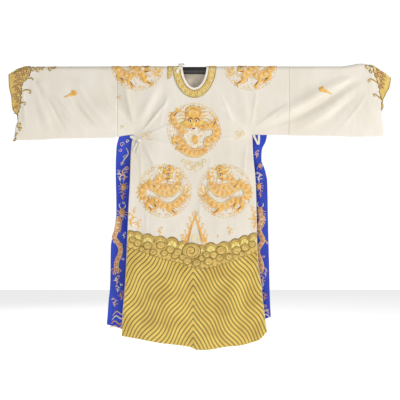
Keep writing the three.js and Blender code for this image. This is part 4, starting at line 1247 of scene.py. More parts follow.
@dataclass
class Collar:
    """The round neck: cream binding, the band of key fret, the lapped end and the tie on it."""

    ground: Ground
    rim_inner: Triple = (60.0, 118.0, 27.0)
    rim_outer: Triple = (72.6, 131.0, 39.6)
    band_inner: Triple = (73.0, 131.5, 40.0)
    band_outer: Triple = (110.0, 168.5, 77.0)
    thickness: float = 1.5
    clearance: float = 0.45
    sunk: float = 0.3
    units: int = 22

    def ring_place(self, share: Array, radial: Array, inner: Triple, outer: Triple) -> Array:
        """Places on the cloth round the neck.

        An angle goes round at an even pace along the band's middle ellipse, whose depth is larger
        at the front than on the back, and the place is between the inner and the outer curve.

        Args:
            share: Share of the way round, from the viewer's right over the front.
            radial: Share of the way from the inner to the outer curve.
            inner: Half width, depth at the front and depth on the back.
            outer: The same of the outer curve.

        Returns:
            Places in x and distance down.
        """
        fine = np.linspace(0.0, 2 * np.pi, 721)
        mid = [(a + b) / 2 for a, b in zip(inner, outer)]
        depth = np.where(np.sin(fine) >= 0.0, mid[1], mid[2])
        line = np.stack([mid[0] * np.cos(fine), depth * np.sin(fine)], -1)
        along = lengths_along(line)
        angle = np.interp(np.mod(share, 1.0) * along[-1], along, fine)
        half = lerp(inner[0], outer[0], radial)
        front, back = lerp(inner[1], outer[1], radial), lerp(inner[2], outer[2], radial)
        return np.stack([half * np.cos(angle), np.where(np.sin(angle) >= 0.0, front,
                                                        back) * np.sin(angle)], -1)

    def ring(self, name: str, inner: Triple, outer: Triple, columns: int, rows: int, crown: float,
             finish: Material, slot: str) -> Piece:
        """Makes a flat ring on the cloth whose outer face is crowned between its edges."""
        share, radial = np.meshgrid(np.arange(columns) / columns, np.linspace(0.0, 1.0, rows))
        flat = self.ring_place(share, radial, inner, outer)
        tall = self.clearance + self.thickness * (0.55 + 0.45 * (1.0 - (2 * radial - 1.0) ** 4)) + crown
        uv = np.stack([share * 6.0, radial * 0.36], -1)
        return self.ground.sheet(flat, tall, self.clearance - self.sunk, uv, True).build(name, [finish],
                                                                                         slot)

    def fret_unit(self, work: Embroidery, place: Callable[[Array], Array], over: float) -> None:
        """Sews one key: a square hook that turns inwards, and the bar beside it, between edge lines."""
        key = [(0.12, 0.12), (0.12, 0.86), (0.82, 0.86), (0.82, 0.3), (0.4, 0.3), (0.4, 0.6), (0.58, 0.6)]
        corners = even_steps(np.array(key), 0.06)
        work.cord(place(corners), 7.4, OUTLINE, 0.6, (0.02, 0.02), over, True)
        work.cord(place(corners), 4.8, BRIGHT, 1.2, (0.02, 0.02), over + 0.3, True)
        bar = even_steps(np.array([(0.97, 0.06), (0.97, 0.94)]), 0.2)
        work.cord(place(bar), 5.4, BROWN, 0.6, (0.02, 0.02), over, True)
        work.cord(place(bar), 3.4, WHITE, 1.4, (0.02, 0.02), over + 0.3, True)

    def fret(self) -> MeshParts:
        """Sews the fret round the band, the edge lines, and the fret and lines on the lapped end."""
        over = self.clearance + self.thickness
        work = Embroidery(self.ground, 1.0, step=2.0)
        for k in range(self.units):
            def place(p: Array, k: int = k) -> Array:
                """A place in the key's unit, on the band."""
                return self.ring_place((k + p[:, 0]) / self.units, 0.08 + 0.84 * p[:, 1], self.band_inner,
                                       self.band_outer)

            self.fret_unit(work, place, over - 0.2)
        turn = np.linspace(0.0, 1.0, 121)
        for radial, width, thread in ((0.02, 2.0, OUTLINE), (0.975, 2.0, OUTLINE),
                                      (0.09, 1.6, BRIGHT), (0.91, 1.6, BRIGHT)):
            work.cord(self.ring_place(turn, radial + 0 * turn, self.band_inner, self.band_outer)[:-1],
                      width, thread, 1.1, (0.001, 0.001), over - 0.2)
        work.cord(self.ring_place(turn, 0.94 + 0 * turn, self.rim_inner, self.rim_outer)[:-1], 1.8, GOLD,
                  1.2, (0.001, 0.001), over - 0.3)
        for k in range(3):
            def place(p: Array, k: int = k) -> Array:
                """A place in the key's unit, on the lapped end."""
                return np.stack([lerp(-132.5, -115.0, p[:, 1]), -38.0 + 34.0 * (k + p[:, 0])], -1)

            self.fret_unit(work, place, over - 0.2)
        for x, end in ((-133.0, 77.0), (-114.5, 62.0)):
            work.cord([(x, -45.0), (x, 0.0), (x, end)], 1.6, OUTLINE, 1.0, (0.01, 0.01), over - 0.2)
        work.cord([(-133.0, 77.0), (-114.5, 62.0)], 1.6, OUTLINE, 1.0, (0.01, 0.01), over - 0.2, True)
        return work.parts

    def lapped_end(self, finish: Material) -> Piece:
        """Makes the band's short end that laps over the shoulder, with a slanting lower edge."""
        t, r = np.meshgrid(np.linspace(0.0, 1.0, 7), np.linspace(0.0, 1.0, 37))
        flat = np.stack([lerp(-134.0, -113.5, t), lerp(-46.0, lerp(78.0, 62.0, t), r)], -1)
        top, low = self.clearance + self.thickness, self.clearance - self.sunk
        return self.ground.sheet(flat, top, low, flat / MAP_UNIT).build("collar_end", [finish])


@dataclass
class Ties:
    """The ties of the robe's own cloth: flat strips, knots and the folded loop."""

    ground: Ground
    thickness: float = 1.3
    wave: float = 0.5

    def strip(self, name: str, path: list[Point], width: float, over: float, finish: Material) -> Piece:
        """Lays a flat strip along a path on the cloth, with a soft crease along it and pinched ends."""
        line = curve_through(np.array(path, float), 2.5)
        side = directions(line)[1]
        t = np.linspace(-1.0, 1.0, 9)
        along = np.linspace(0.0, 1.0, len(line))[:, None]
        half = width / 2 * (0.8 + 0.2 * smooth(along * 4))
        flat = line[:, None] + side[:, None] * (half * t[None, :])[..., None]
        tall = over + self.wave * (np.cos(t * 4.0)[None, :] + 0.6 * np.sin(along * 9.0 + t[None, :] * 2.0))
        return self.ground.sheet(flat, tall + self.thickness, tall, flat / MAP_UNIT).build(name, [finish],
                                                                                        "satin")

    def knot(self, name: str, loop: float, cord: float, flat: float, rotation: Array, centre: Array,
             finish: Material) -> Piece:
        """Makes a knot of folded cord.

        Its line is a (2, 3) torus knot: radius (2 + cos(1.5u)) times half the loop at the angle u,
        and height sin(1.5u) times half the loop. Round it goes a circle whose radius swells and
        shrinks by a tenth where the cloth is gathered, flattened in depth.

        Args:
            name: The piece's name.
            loop: The knot's size.
            cord: The cord's radius.
            flat: The share of its depth that is left.
            rotation: How it is turned.
            centre: Where its middle is.
            finish: Its material.

        Returns:
            The piece.
        """
        u = np.arange(120) / 120 * 4 * np.pi
        r = (2 + np.cos(1.5 * u)) * loop / 2
        line = np.stack([r * np.cos(u), r * np.sin(u), np.sin(1.5 * u) * loop / 2], -1)
        tangent = np.roll(line, -1, 0) - np.roll(line, 1, 0)
        tangent /= np.linalg.norm(tangent, axis=1, keepdims=True)
        first = np.cross(tangent, line + [0.0, 0.0, 2.0 * loop])
        first /= np.linalg.norm(first, axis=1, keepdims=True)
        second = np.cross(tangent, first)
        a = np.arange(16) / 16 * 2 * np.pi
        size = cord * (1.0 + 0.1 * np.cos(5 * a)[None, :] + 0.06 * np.sin(7 * u)[:, None])
        round_it = first[:, None] * (size * np.cos(a))[..., None]
        tube = line[:, None] + round_it + second[:, None] * (size * np.sin(a))[..., None]
        tube = (tube * [1.0, 1.0, flat]) @ rotation.T + centre
        number = np.arange(tube.shape[0] * 16).reshape(-1, 16)
        down, right = np.roll(number, -1, 0), np.roll(number, -1, 1)
        faces = np.stack([number, down, np.roll(down, -1, 1), right], -1).reshape(-1, 4)
        work = Embroidery(self.ground, 1.0)
        uv = np.stack(np.broadcast_arrays(u[:, None] / 10, a[None, :] / 20), -1)
        work.put(tube.reshape(-1, 3), [faces], uv.reshape(-1, 2), GOLD)
        return work.parts.build(name, [finish], "satin")

    def loop(self, name: str, finish: Material) -> Piece:
        """Makes the folded tie that hangs from the underarm seam: a level width along a bent line."""
        path = np.array([(297, -2.2, -323), (299, -5, -331), (307, -6.4, -348), (315, -6.2, -365),
                         (318, -4.6, -371), (320, -3.2, -365), (322, -3, -345), (322, -2.2, -323)])
        line = curve_through(path, 2.0)
        t = np.linspace(-1.0, 1.0, 7)
        middle = line[:, None] + np.array([1.0, 0.0, 0.0]) * (5.5 * t)[None, :, None]
        middle[..., 1] += 0.5 * np.cos(t * 3.0)[None, :] * np.sin(np.linspace(0, np.pi, len(line)))[:, None]
        normals = grid_normals(middle)
        parts = MeshParts()
        wall(parts, middle + normals * 0.6, middle - normals * 0.6)
        return parts.build(name, [finish], "satin")


@dataclass
class Cuff:
    """The gold wave work at a cuff."""

    ground: Ground
    edge: Table
    border: Table
    reach: float
    way: float
    hooks: tuple[Triple, ...]
    curls: tuple[Triple, ...]
    seam_down: float = 372.0
    closing: float = 50.0
    row_start: float = 14.0
    row_end: float = 34.0
    row_pitch: float = 21.0
    scale_pitch: float = 25.0
    scale_radius: float = 16.5

    def band(self, down: Array | float) -> tuple[Array, Array]:
        """Where the gold starts and ends across: the cuff's edge, and a border that closes at its reach."""
        start = self.edge.at(np.clip(down / self.seam_down, 0.0, 1.0))
        closing = smooth((down - self.reach + self.closing) / self.closing)
        return start, lerp(self.border.at(down), start + 3.0 * self.way, closing)

    def scallops(self, down: Array) -> Array:
        """How far the patch's scalloped border stands back, as a bent sine wave."""
        return 4.0 * np.abs(np.sin(down / 13.0)) * self.way

    def patch(self) -> MeshParts:
        """Sews the gold ground between the cuff's edge and the wavy border, on the front and the back.

        Rows go down over the shoulder line; across them x runs from the cuff's edge to the border.
        """
        parts = MeshParts()
        for sign in (1.0, -1.0):
            down, share = np.meshgrid(np.linspace(0.0, self.reach, 90), np.linspace(0.0, 1.0, 36),
                                      indexing="ij")
            start, end = self.band(down)
            x = lerp(start - 1.2 * self.way, end - self.scallops(down), share)
            tall = 0.55 + 0.5 * np.abs(np.sin(down / 7.0 + 0.9 * np.sin(x / 9.0)))
            flat = np.stack([x, down * sign], -1)
            uv = np.stack([down, x * 0.5], -1) / MAP_UNIT
            wall(parts, self.ground.lay(flat, tall), self.ground.lay(flat, UNDERSIDE), uv=uv)
        return parts

    def scale(self, work: Embroidery, x: float, y: float) -> None:
        """Sews one scale: five arches, one inside the other, that face up the sleeve."""
        middle = -0.9 if self.way > 0 else math.pi + 0.9
        angle = np.linspace(middle - 1.4, middle + 1.4, 9)
        for share, thread, width in ((1.0, OUTLINE, 2.8), (0.82, PINK, 2.2), (0.66, RUST, 2.2),
                                     (0.48, OUTLINE, 2.2), (0.3, BRIGHT, 2.6)):
            radius = self.scale_radius * share
            arch = arc(x, y, radius, radius, angle)
            work.cord(arch, width, thread, 0.9, (0.1, 0.1), 1.0 + 0.8 * (1.0 - share))

    def hook(self, work: Embroidery, place: Triple, sign: float) -> None:
        """Sews one hook, two cords side by side that bend back at their end, round a curl."""
        x, down, reach = place
        for drop, thread in ((0.0, OUTLINE), (4.6, GOLD)):
            bends = ((-20.0, drop), (0.45 * reach, -0.14 * reach + drop), (reach, 0.06 * reach + drop),
                     (1.05 * reach, 0.34 * reach), (0.82 * reach, 0.42 * reach))
            line = [(x + across * self.way, (down + lower) * sign) for across, lower in bends]
            work.cord(line, 4.6, thread, 1.4, (0.3, 0.5))
        work.curl(x + 0.86 * reach * self.way, (down + 0.36 * reach) * sign, 0.2 * reach, OUTLINE, 2.6, 1.1,
                  0.0, self.way, 1.0)

    def edging(self, work: Embroidery) -> None:
        """Sews rows of scales, a pointed stitch at the end of each row, lines, hooks and curls.

        The lines follow the cuff's edge and the scalloped border. The hooks reach out over the
        cloth, and the curls lie on pale pads.
        """
        way = self.way
        rows = np.arange(self.row_start, self.reach - self.row_end, self.row_pitch)
        for sign in (1.0, -1.0):
            for k, down in enumerate(rows):
                start, end = (float(value) for value in self.band(down))
                for x in np.arange(17.0 + 12.0 * (k % 2), 0.84 * abs(end - start), self.scale_pitch):
                    self.scale(work, end - x * way, down * sign)
                work.cord([(end - 6.0 * way, (down - 9.0) * sign), (end + 1.5 * way, down * sign),
                           (end - 6.0 * way, (down + 9.0) * sign)], 3.2, OUTLINE, 1.4, (0.2, 0.2), 0.8)
            down = np.linspace(0.0, self.reach, 100)
            start, end = self.band(down)
            for line in (start + 1.2 * way, end - self.scallops(down)):
                work.cord(np.stack([line, down * sign], -1), 2.6, OUTLINE, 1.2, (0.01, 0.01), 0.8)
            for place in self.hooks:
                self.hook(work, place, sign)
            for x, down, radius in self.curls:
                work.pad(x, down * sign, radius, radius, PALE, 1.0)
                work.curl(x, down * sign, radius, OUTLINE, 3.4, 1.3, 1.3, way, 1.2, 0.9)


# Each cuff's name, edge, border, reach down, way and the places of its hooks and curls.
CUFFS = (
    ("left", LEFT_CUFF, Table(((0, -822), (35, -815), (75, -838), (110, -860), (150, -862), (190, -866),
                               (235, -876), (260, -884))), 262.0, 1.0,
     ((-822, 72, 18), (-848, 132, 32), (-870, 190, 28)),
     ((-873, 292, 13), (-868, 312, 10), (-889, 330, 9), (-896, 350, 9), (-802, 24, 13), (-778, 26, 15),
      (-756, 20, 11), (-716, 22, 14), (-696, 16, 10))),
    ("right", RIGHT_CUFF, Table(((0, 872), (28, 888), (60, 900), (85, 915), (130, 925), (170, 940),
                                 (205, 950))), 205.0, -1.0,
     ((900, 85, 34), (920, 150, 28)), ((862, 26, 17), (876, 46, 9))),
)


@dataclass
class Wing:
    """A blue panel in a side slit, sewn to the inside of the back, with its own embroidery."""

    drape: Drape
    name: str
    outer: Table
    inner: Table
    hem_outer: float
    hem_inner: float
    crumple: Fold
    way: float
    thickness: float = 1.2
    seam_gap: float = 0.7
    top_gap: float = 0.8
    outer_depth: float = 4.0
    width: float = 130.0
    length: float = 960.0
    cell: float = 4.5

    def points(self, x: Array, z: Array, top: Array, across: Array) -> Array:
        """Places in space: the seam line's depth at the inner edge, an even change to the outer edge.

        A crumple and faint ripples are added, and everything closes up towards the top seam.
        """
        inner = self.inner.at(z)
        sewn = self.drape.half_depth(BACK, inner, z) - CLOTH / 2 - self.seam_gap - self.thickness / 2
        down = smooth((top - 12.0 - z) / 150.0)
        push = self.crumple.shift(x,
                                  z) + 0.5 * np.sin(x / 13.0 + z / 60.0) + 0.5 * np.sin(z / 37.0 - x / 21.0)
        return np.stack([x, down * lerp(sewn, self.outer_depth, across) - push * across * down, z], -1)

    def grid(self, cell: float) -> Array:
        """The wing's grid, from its seam to its hem and from the inner to the outer edge."""
        across = np.linspace(0.0, 1.0, int(self.width / cell) + 1)[None, :]
        top = UNDERARM.at(lerp(float(self.inner.at(-330.0)), float(self.outer.at(-330.0)),
                               across)) - self.top_gap
        low = lerp(self.hem_inner, self.hem_outer, across)
        z = lerp(top, low, np.linspace(0.0, 1.0, int(self.length / cell) + 1)[:, None])
        x = lerp(self.inner.at(z), self.outer.at(z), across)
        return self.points(x, z, top + 0.0 * z, across + 0.0 * z)

    def cloth(self, finishes: Finishes) -> Piece:
        """Makes the panel."""
        points = self.grid(self.cell)
        normals = grid_normals(points)
        parts = MeshParts()
        half = self.thickness / 2
        wall(parts, points + normals * half, points - normals * half, finishes=(0, 0))
        return parts.build(self.name, [finishes.blue], "blue_satin")

    def ground(self) -> Ground:
        """The panel's front face as a ground, in x and in distance down from the rod's axis."""
        low, high = (-450.0, -275.0) if self.way < 0 else (250.0, 392.0)
        u, v = np.arange(low, high, GROUND_STEP), np.arange(320.0, 1324.0, GROUND_STEP)
        x, down = np.meshgrid(u, v)
        inner, outer = self.inner.at(-down), self.outer.at(-down)
        across = (x - inner) / (outer - inner)
        points = self.points(x, -down, np.full_like(x, -322.0), np.clip(across, -0.2, 1.2))
        normals = grid_normals(points)
        return Ground(u, v, points, normals * np.sign(-normals[len(v) // 2, len(u) // 2, 1]),
                      self.thickness / 2)

    def dragon(self, work: Embroidery, line: list[Point], width: float, head: Point) -> None:
        """Sews a climbing dragon: a winding body, its head at the top and four clawed legs."""
        sewing = DragonWork(work)
        sewing.body(line, width * 0.95, 1.0, RUST)
        sewing.body(line[:3], width * 1.1, -1.0, RUST)
        for k, share in enumerate((0.25, 0.45, 0.68, 0.9)):
            x, y = line[int(share * (len(line) - 1))]
            side = 1.0 if k % 2 else -1.0
            work.cord([(x, y), (x + 2.2 * side, y + 0.6), (x + 3.4 * side, y + 2.4)], 1.6, RUST, 1.6)
            work.cord([(x + 3.2 * side, y + 1.4), (x + 4.6 * side, y + 2.0)], 0.7, WHITE, 1.2)
            work.cord([(x + 3.2 * side, y + 2.2), (x + 4.2 * side, y + 3.8)], 0.7, WHITE, 1.2)
        x, y = head
        work.strokes(x, y + 2, 2.4, 6.4, -0.5, 3.6, 8, (ORANGE, WHITE), 0.7)
        work.pad(x, y, 3.2, 4.4, RUST, 2.4)
        work.pad(x, y + 3.4, 2.0, 1.8, PINK, 2.0, 0.0, 1.0)
        work.cord([(x - 1.0, y - 3.2), (x - 2.8, y - 6.4), (x - 1.6, y - 9.0)], 1.0, WHITE, 1.4)
        work.cord([(x + 1.2, y - 3.2), (x + 3.2, y - 5.4), (x + 3.0, y - 8.0)], 1.0, WHITE, 1.4)
        for side in (-1.0, 1.0):
            work.pad(x + 1.2 * side, y - 0.6, 0.8, 0.8, WHITE, 1.0, 0.0, 2.2)
            work.pad(x + 1.2 * side, y - 0.5, 0.4, 0.5, DARK, 0.7, 0.0, 3.0)
        work.cord([(x - 1.4, y + 2.6), (x, y + 3.2), (x + 1.4, y + 2.6)], 0.6, RED, 0.9, (0.3, 0.3), 2.2)


@dataclass(frozen=True)
class WingPattern:
    """Where a wing's embroidery lies, in units of 5 mm across and down from the rod's axis."""

    dragon: tuple[Point, ...]
    head: Point
    pearl: Point
    sprigs: tuple[tuple[float, float, float, float], ...]
    curls: tuple[Triple, ...]
    ribbons: tuple[tuple[Point, ...], ...]


LEFT_PATTERN = WingPattern(dragon=((-75.5, 146), (-76.4, 154), (-77.8, 161), (-79.6, 167), (-76.4, 172),
                                   (-73.6, 177.5), (-74.2, 184), (-77.2, 191), (-77.6, 198),
                                   (-76.4, 203.5)), head=(-72.6, 141.5), pearl=(-71.2, 116.3),
                           sprigs=((-71.5, 111, 14, 1), (-74, 111, 9, -1), (-71.5, 129.5, 9, -1),
                                   (-78.5, 214.5, 9, 1), (-76.5, 222, 7, -1), (-74.0, 230, 9, 1),
                                   (-79.5, 236.5, 9, -1), (-71, 168, 6, 1), (-80.5, 205, 7, -1)),
                           curls=((-72.5, 74, 2.4), (-66.8, 70.5, 1.7), (-74.0, 79.5, 1.8),
                                  (-70.0, 86, 2.0), (-72.6, 93, 1.8), (-69.0, 99, 1.6), (-75.5, 100, 1.5),
                                  (-71.3, 137 - 5, 1.4), (-80.5, 171, 1.5), (-71.5, 189, 1.4),
                                  (-78.0, 209, 1.6), (-73.4, 214, 1.4)),
                           ribbons=(((-82.5, 246), (-78, 241), (-73, 244), (-69, 240)),
                                    ((-83, 250), (-78.5, 245.5), (-73, 248.5), (-68, 244)),
                                    ((-84, 254), (-80, 250.5), (-75, 254), (-70, 249)),
                                    ((-85.5, 257.5), (-80, 255.5), (-75.5, 257.5), (-71.5, 254)),
                                    ((-68.5, 77), (-66.5, 83), (-71, 90), (-73.5, 95))),)
RIGHT_PATTERN = WingPattern(dragon=((66.5, 143), (67.4, 150), (64.6, 157), (66.8, 164), (69.0, 170),
                                    (65.0, 177), (63.8, 182), (66.4, 190), (68.0, 197), (66.0, 204)),
                            head=(65.6, 140.5), pearl=(64.4, 115.9), sprigs=((61.5, 88, 8, 1),
                                                                             (65, 111.5, 10, -1),
                                                                             (65.5, 127.5, 7, 1),
                                                                             (68.5, 213, 8, -1),
                                                                             (66.5, 221, 8, 1),
                                                                             (70.5, 230, 8, -1),
                                                                             (70.8, 206.5, 6, 1)),
                            curls=((62.5, 84, 1.6), (66.8, 95.5, 2.0), (66.0, 104, 1.5), (67.5, 215, 1.6),
                                   (70.4, 236, 1.8), (73.0, 240, 1.6), (69.5, 186, 1.4), (61.8, 176, 1.4),
                                   (70.0, 149, 1.3)), ribbons=(((67, 243), (71, 240), (75, 243.5)),
                                                               ((67, 247), (71.5, 244), (75.8, 247)),
                                                               ((62.5, 99), (65.5, 93), (66.8, 99.5))),)


# Each wing's node; its outer and inner edge, hem heights, crumple and way; and its pattern.
WINGS = (("wing_left", (Table(((-330, -377), (-400, -391), (-520, -394), (-680, -391), (-757, -394),
                               (-840, -413), (-900, -419), (-1037, -421), (-1157, -430), (-1270, -439))),
                        Table(((-330, -284), (-800, -290), (-1310, -300))), -1270.0, -1315.0,
                        Fold((-420, -640), (-385, -760), (-330, -860), 26.0, 4.0), -1.0), LEFT_PATTERN),
         ("wing_right", (Table(((-322, 363), (-357, 355), (-400, 337), (-445, 335), (-480, 346),
                                (-520, 358), (-560, 364), (-720, 367), (-960, 373), (-1157, 378),
                                (-1232, 382))), Table(((-322, 268), (-800, 262), (-1290, 272))), -1232.0,
                         -1275.0, Fold((370, -500), (325, -468), (270, -455), 20.0, 5.0), 1.0),
          RIGHT_PATTERN),)


def sew_wing(wing: Wing, pattern: WingPattern, finishes: Finishes) -> Piece:
    """Sews a wing's sprigs, pearl, dragon, curls and wave ribbons.

    Args:
        wing: The panel.
        pattern: Where its motifs lie.
        finishes: The materials.

    Returns:
        The embroidery, as one piece.
    """
    work = Embroidery(wing.ground(), step=2.6)
    wing.dragon(work, list(pattern.dragon), 4.2, pattern.head)
    for k, (x, y, height, way) in enumerate(pattern.sprigs):
        work.sprig(x, y, height, (PINK, WHITE, RUST)[k % 3], way)
    for k, (x, y, radius) in enumerate(pattern.curls):
        work.curl(x, y, radius, (PINK, WHITE)[k % 2], 0.75, 1.3, k * 1.7, 1.0 if k % 2 else -1.0)
    for k, line in enumerate(pattern.ribbons):
        work.cord(list(line), 1.3, (PINK, WHITE, RUST)[k % 3], 1.2)
    x, y = pattern.pearl
    work.strokes(x, y, 2.8, 5.2, 0.3, 6.0, 9, (PINK, WHITE), 0.6)
    work.pad(x, y, 2.8, 3.8, RUST, 2.6)
    work.curl(x, y, 1.6, BRIGHT, 0.6, 1.2, 0.0, 1.0, 0.9, 2.3)
    return work.parts.build(f"{wing.name}_embroidery", finishes.threads)


def linear(red: float, green: float, blue: float) -> tuple[float, float, float, float]:
    """A colour as seen on a screen, from 0 to 255, as the linear light that a shader takes."""
    def channel(value: float) -> float:
        """One channel by the sRGB curve."""
        share = value / 255.0
        return share / 12.92 if share <= 0.04045 else ((share + 0.055) / 1.055) ** 2.4
    return channel(red), channel(green), channel(blue), 1.0


class Tree:
    """A material's nodes, made and joined in few words."""

    def __init__(self, name: str) -> None:
        """Makes a material with its shader and output."""
        self.material = bpy.data.materials.new(name)
        self.material.use_nodes = True
        self.nodes, self.links = self.material.node_tree.nodes, self.material.node_tree.links
        self.shader = self.nodes["Principled BSDF"]

    def add(self, kind: str, inputs: dict | None = None, **settings: object) -> Node:
        """Adds a node.

        Args:
            kind: Its type, without the ShaderNode in front.
            inputs: Values or sockets for its inputs, by name or number.
            settings: Its own settings.

        Returns:
            The node.
        """
        node = self.nodes.new(f"ShaderNode{kind}")
        for key, value in settings.items():
            setattr(node, key, value)
        for key, value in (inputs or {}).items():
            if isinstance(value, Socket):
                self.links.new(value, node.inputs[key])
            else:
                node.inputs[key].default_value = value
        return node

    def maths(self, operation: str, a: object, b: object = 0.0, c: object = 0.0) -> Socket:
        """The result of one sum on numbers or sockets."""
        return self.add("Math", {0: a, 1: b, 2: c}, operation=operation).outputs[0]

    def mix(self, share: object, a: object, b: object) -> Socket:
        """A colour a share of the way from one to another."""
        return self.add("Mix", {"Factor": share, 6: a, 7: b}, data_type="RGBA").outputs[2]

    def place(self, source: str, scale: Triple = (1.0, 1.0, 1.0),
              turn: Triple = (0.0, 0.0, 0.0)) -> Socket:
        """Object or UV places, stretched and turned."""
        start = self.add("TexCoord").outputs[source]
        return self.add("Mapping", {"Vector": start, "Scale": scale, "Rotation": turn}).outputs[0]

    def noise(self, vector: Socket, scale: float, detail: float = 2.0) -> Socket:
        """Soft noise from 0 to 1."""
        return self.add("TexNoise", {"Vector": vector, "Scale": scale, "Detail": detail}).outputs[0]

    def bands(self, vector: Socket, scale: float, axis: str = "X", wobble: float = 0.0) -> Socket:
        """Even bands from 0 to 1 along one axis."""
        node = self.add("TexWave", {"Vector": vector, "Scale": scale, "Distortion": wobble,
                                    "Detail Scale": 1.0}, bands_direction=axis)
        return node.outputs[1]

    def ramp(self, value: object, low: float, high: float, start: float = 0.0, end: float = 1.0) -> Socket:
        """A number moved from one range into another, held at its ends, by an S-curve."""
        node = self.add("MapRange", {0: value, 1: low, 2: high, 3: start, 4: end},
                        interpolation_type="SMOOTHSTEP")
        return node.outputs[0]

    def bump(self, height: Socket, strength: float, depth_mm: float,
             under: Socket | None = None) -> Socket:
        """A relief of the shading, over another where given."""
        inputs = {"Height": height, "Strength": strength, "Distance": depth_mm * MM}
        if under is not None:
            inputs["Normal"] = under
        return self.add("Bump", inputs).outputs[0]

    def finish(self, color: object, normal: Socket, roughness: object, sheen: float = 0.0,
               metallic: float = 0.0, coat: float = 0.0) -> Material:
        """Joins the results to the shader and gives the material."""
        shader = self.shader
        for key, value in (("Base Color", color), ("Roughness", roughness)):
            if isinstance(value, Socket):
                self.links.new(value, shader.inputs[key])
            else:
                shader.inputs[key].default_value = value
        self.links.new(normal, shader.inputs["Normal"])
        shader.inputs["Sheen Weight"].default_value = sheen
        shader.inputs["Metallic"].default_value = metallic
        shader.inputs["Coat Weight"].default_value = coat
        return self.material


@dataclass(frozen=True)
class SatinFinish:
    """Woven satin: two close tints in soft clouds, a fine weave and hand creases."""

    name: str
    light: Triple
    deep: Triple
    roughness: float = 0.46
    sheen: float = 0.12
    crease: float = 1.0

    def make(self) -> Material:
        """Makes the material: noise mixes the tints; noise and crossing bands make the relief."""
        tree = Tree(self.name)
        place = tree.place("Object")
        clouds = tree.ramp(tree.noise(place, 4.5, 3.0), 0.32, 0.68)
        streaks = tree.noise(tree.place("Object", (34.0, 34.0, 5.0)), 1.0, 3.0)
        tint = tree.maths("MULTIPLY_ADD", streaks, 0.45, tree.maths("MULTIPLY", clouds, 0.55))
        color = tree.mix(tint, linear(*self.deep), linear(*self.light))
        warp = tree.bands(place, 250.0, "X", 0.4)
        weft = tree.bands(place, 210.0, "Z", 0.4)
        weave = tree.maths("MULTIPLY", warp, weft)
        color = tree.mix(tree.maths("MULTIPLY", weave, 0.10), color, linear(*self.deep))
        creases = tree.noise(tree.place("Object", (21.0, 21.0, 8.0), (0.0, 0.5, 0.0)), 1.0, 4.0)
        relief = tree.bump(creases, 0.55 * self.crease, 6.0)
        normal = tree.bump(weave, 0.25, 0.12, relief)
        rough = tree.ramp(streaks, 0.2, 0.8, self.roughness - 0.06, self.roughness + 0.08)
        return tree.finish(color, normal, rough, self.sheen)


@dataclass(frozen=True)
class ThreadFinish:
    """Couched or satin-stitched thread: fine slanting stitches that catch the light."""

    name: str
    light: Triple
    deep: Triple
    roughness: float = 0.42
    metallic: float = 0.0
    slant: float = 0.45
    pitch: float = 1.7

    def make(self) -> Material:
        """Makes the material: slanting bands along the thread's own map, and noise, mix its tints."""
        tree = Tree(self.name)
        stitch_place = tree.place("UV", (1.0, 1.0, 1.0), (0.0, 0.0, self.slant))
        stitches = tree.bands(stitch_place, 31.4 / self.pitch, "X", 1.2)
        mottle = tree.noise(tree.place("Object"), 55.0, 2.0)
        fine = tree.noise(tree.place("Object"), 420.0, 2.0)
        share = tree.maths("ADD", tree.maths("MULTIPLY", stitches, 0.5), tree.ramp(mottle, 0.3, 0.7,
                                                                                   -0.12, 0.5))
        color = tree.mix(tree.maths("MULTIPLY_ADD", fine, 0.25, share), linear(*self.deep),
                         linear(*self.light))
        normal = tree.bump(stitches, 0.45, 0.35, tree.bump(fine, 0.3, 0.3))
        rough = tree.ramp(mottle, 0.3, 0.7, self.roughness - 0.08, self.roughness + 0.1)
        return tree.finish(color, normal, rough, 0.05, self.metallic)


@dataclass(frozen=True)
class WaterFinish:
    """The standing water's gold bands, whose map holds the place along a band and its count."""

    name: str = "gold_water_stitch"
    light: Triple = (246, 216, 112)
    deep: Triple = (206, 168, 76)
    line: Triple = (44, 30, 4)

    def make(self) -> Material:
        """Makes the material: near a whole count the dark line, elsewhere bands of slanting stitches."""
        tree = Tree(self.name)
        place = tree.add("TexCoord").outputs["UV"]
        count = tree.add("SeparateXYZ", {0: place}).outputs[1]
        beside = tree.maths("ABSOLUTE", tree.maths("SUBTRACT", tree.maths("FRACT", count), 0.5))
        line = tree.ramp(beside, 0.375, 0.41)
        stitches = tree.bands(tree.place("UV", (1.0, 0.09, 1.0), (0.0, 0.0, 0.0)), 7.2, "DIAGONAL", 0.6)
        fine = tree.noise(tree.place("Object"), 300.0, 2.0)
        mottle = tree.noise(tree.place("Object"), 14.0, 3.0)
        share = tree.maths("MULTIPLY_ADD", stitches, 0.5, tree.ramp(mottle, 0.3, 0.7, -0.05, 0.45))
        gold = tree.mix(tree.maths("MULTIPLY_ADD", fine, 0.2, share), linear(*self.deep),
                        linear(*self.light))
        color = tree.mix(line, gold, linear(*self.line))
        normal = tree.bump(stitches, 0.4, 0.5, tree.bump(fine, 0.25, 0.3))
        return tree.finish(color, normal, tree.ramp(mottle, 0.3, 0.7, 0.34, 0.5), 0.05, 0.15)


@dataclass(frozen=True)
class RodFinish:
    """Black lacquered wood: faint lengthwise grain under a worn gloss."""

    name: str = "black_lacquered_rod"

    def make(self) -> Material:
        """Makes the material: stretched noise for the grain, and fine noise for the worn gloss."""
        tree = Tree(self.name)
        grain = tree.noise(tree.place("Object", (3.0, 160.0, 160.0)), 1.0, 4.0)
        wear = tree.noise(tree.place("Object"), 30.0, 3.0)
        color = tree.mix(tree.ramp(grain, 0.35, 0.7), linear(30, 28, 29), linear(52, 47, 46))
        return tree.finish(color, tree.bump(grain, 0.2, 0.3), tree.ramp(wear, 0.3, 0.7, 0.32, 0.5), 0.0,
                           0.0, 0.2)


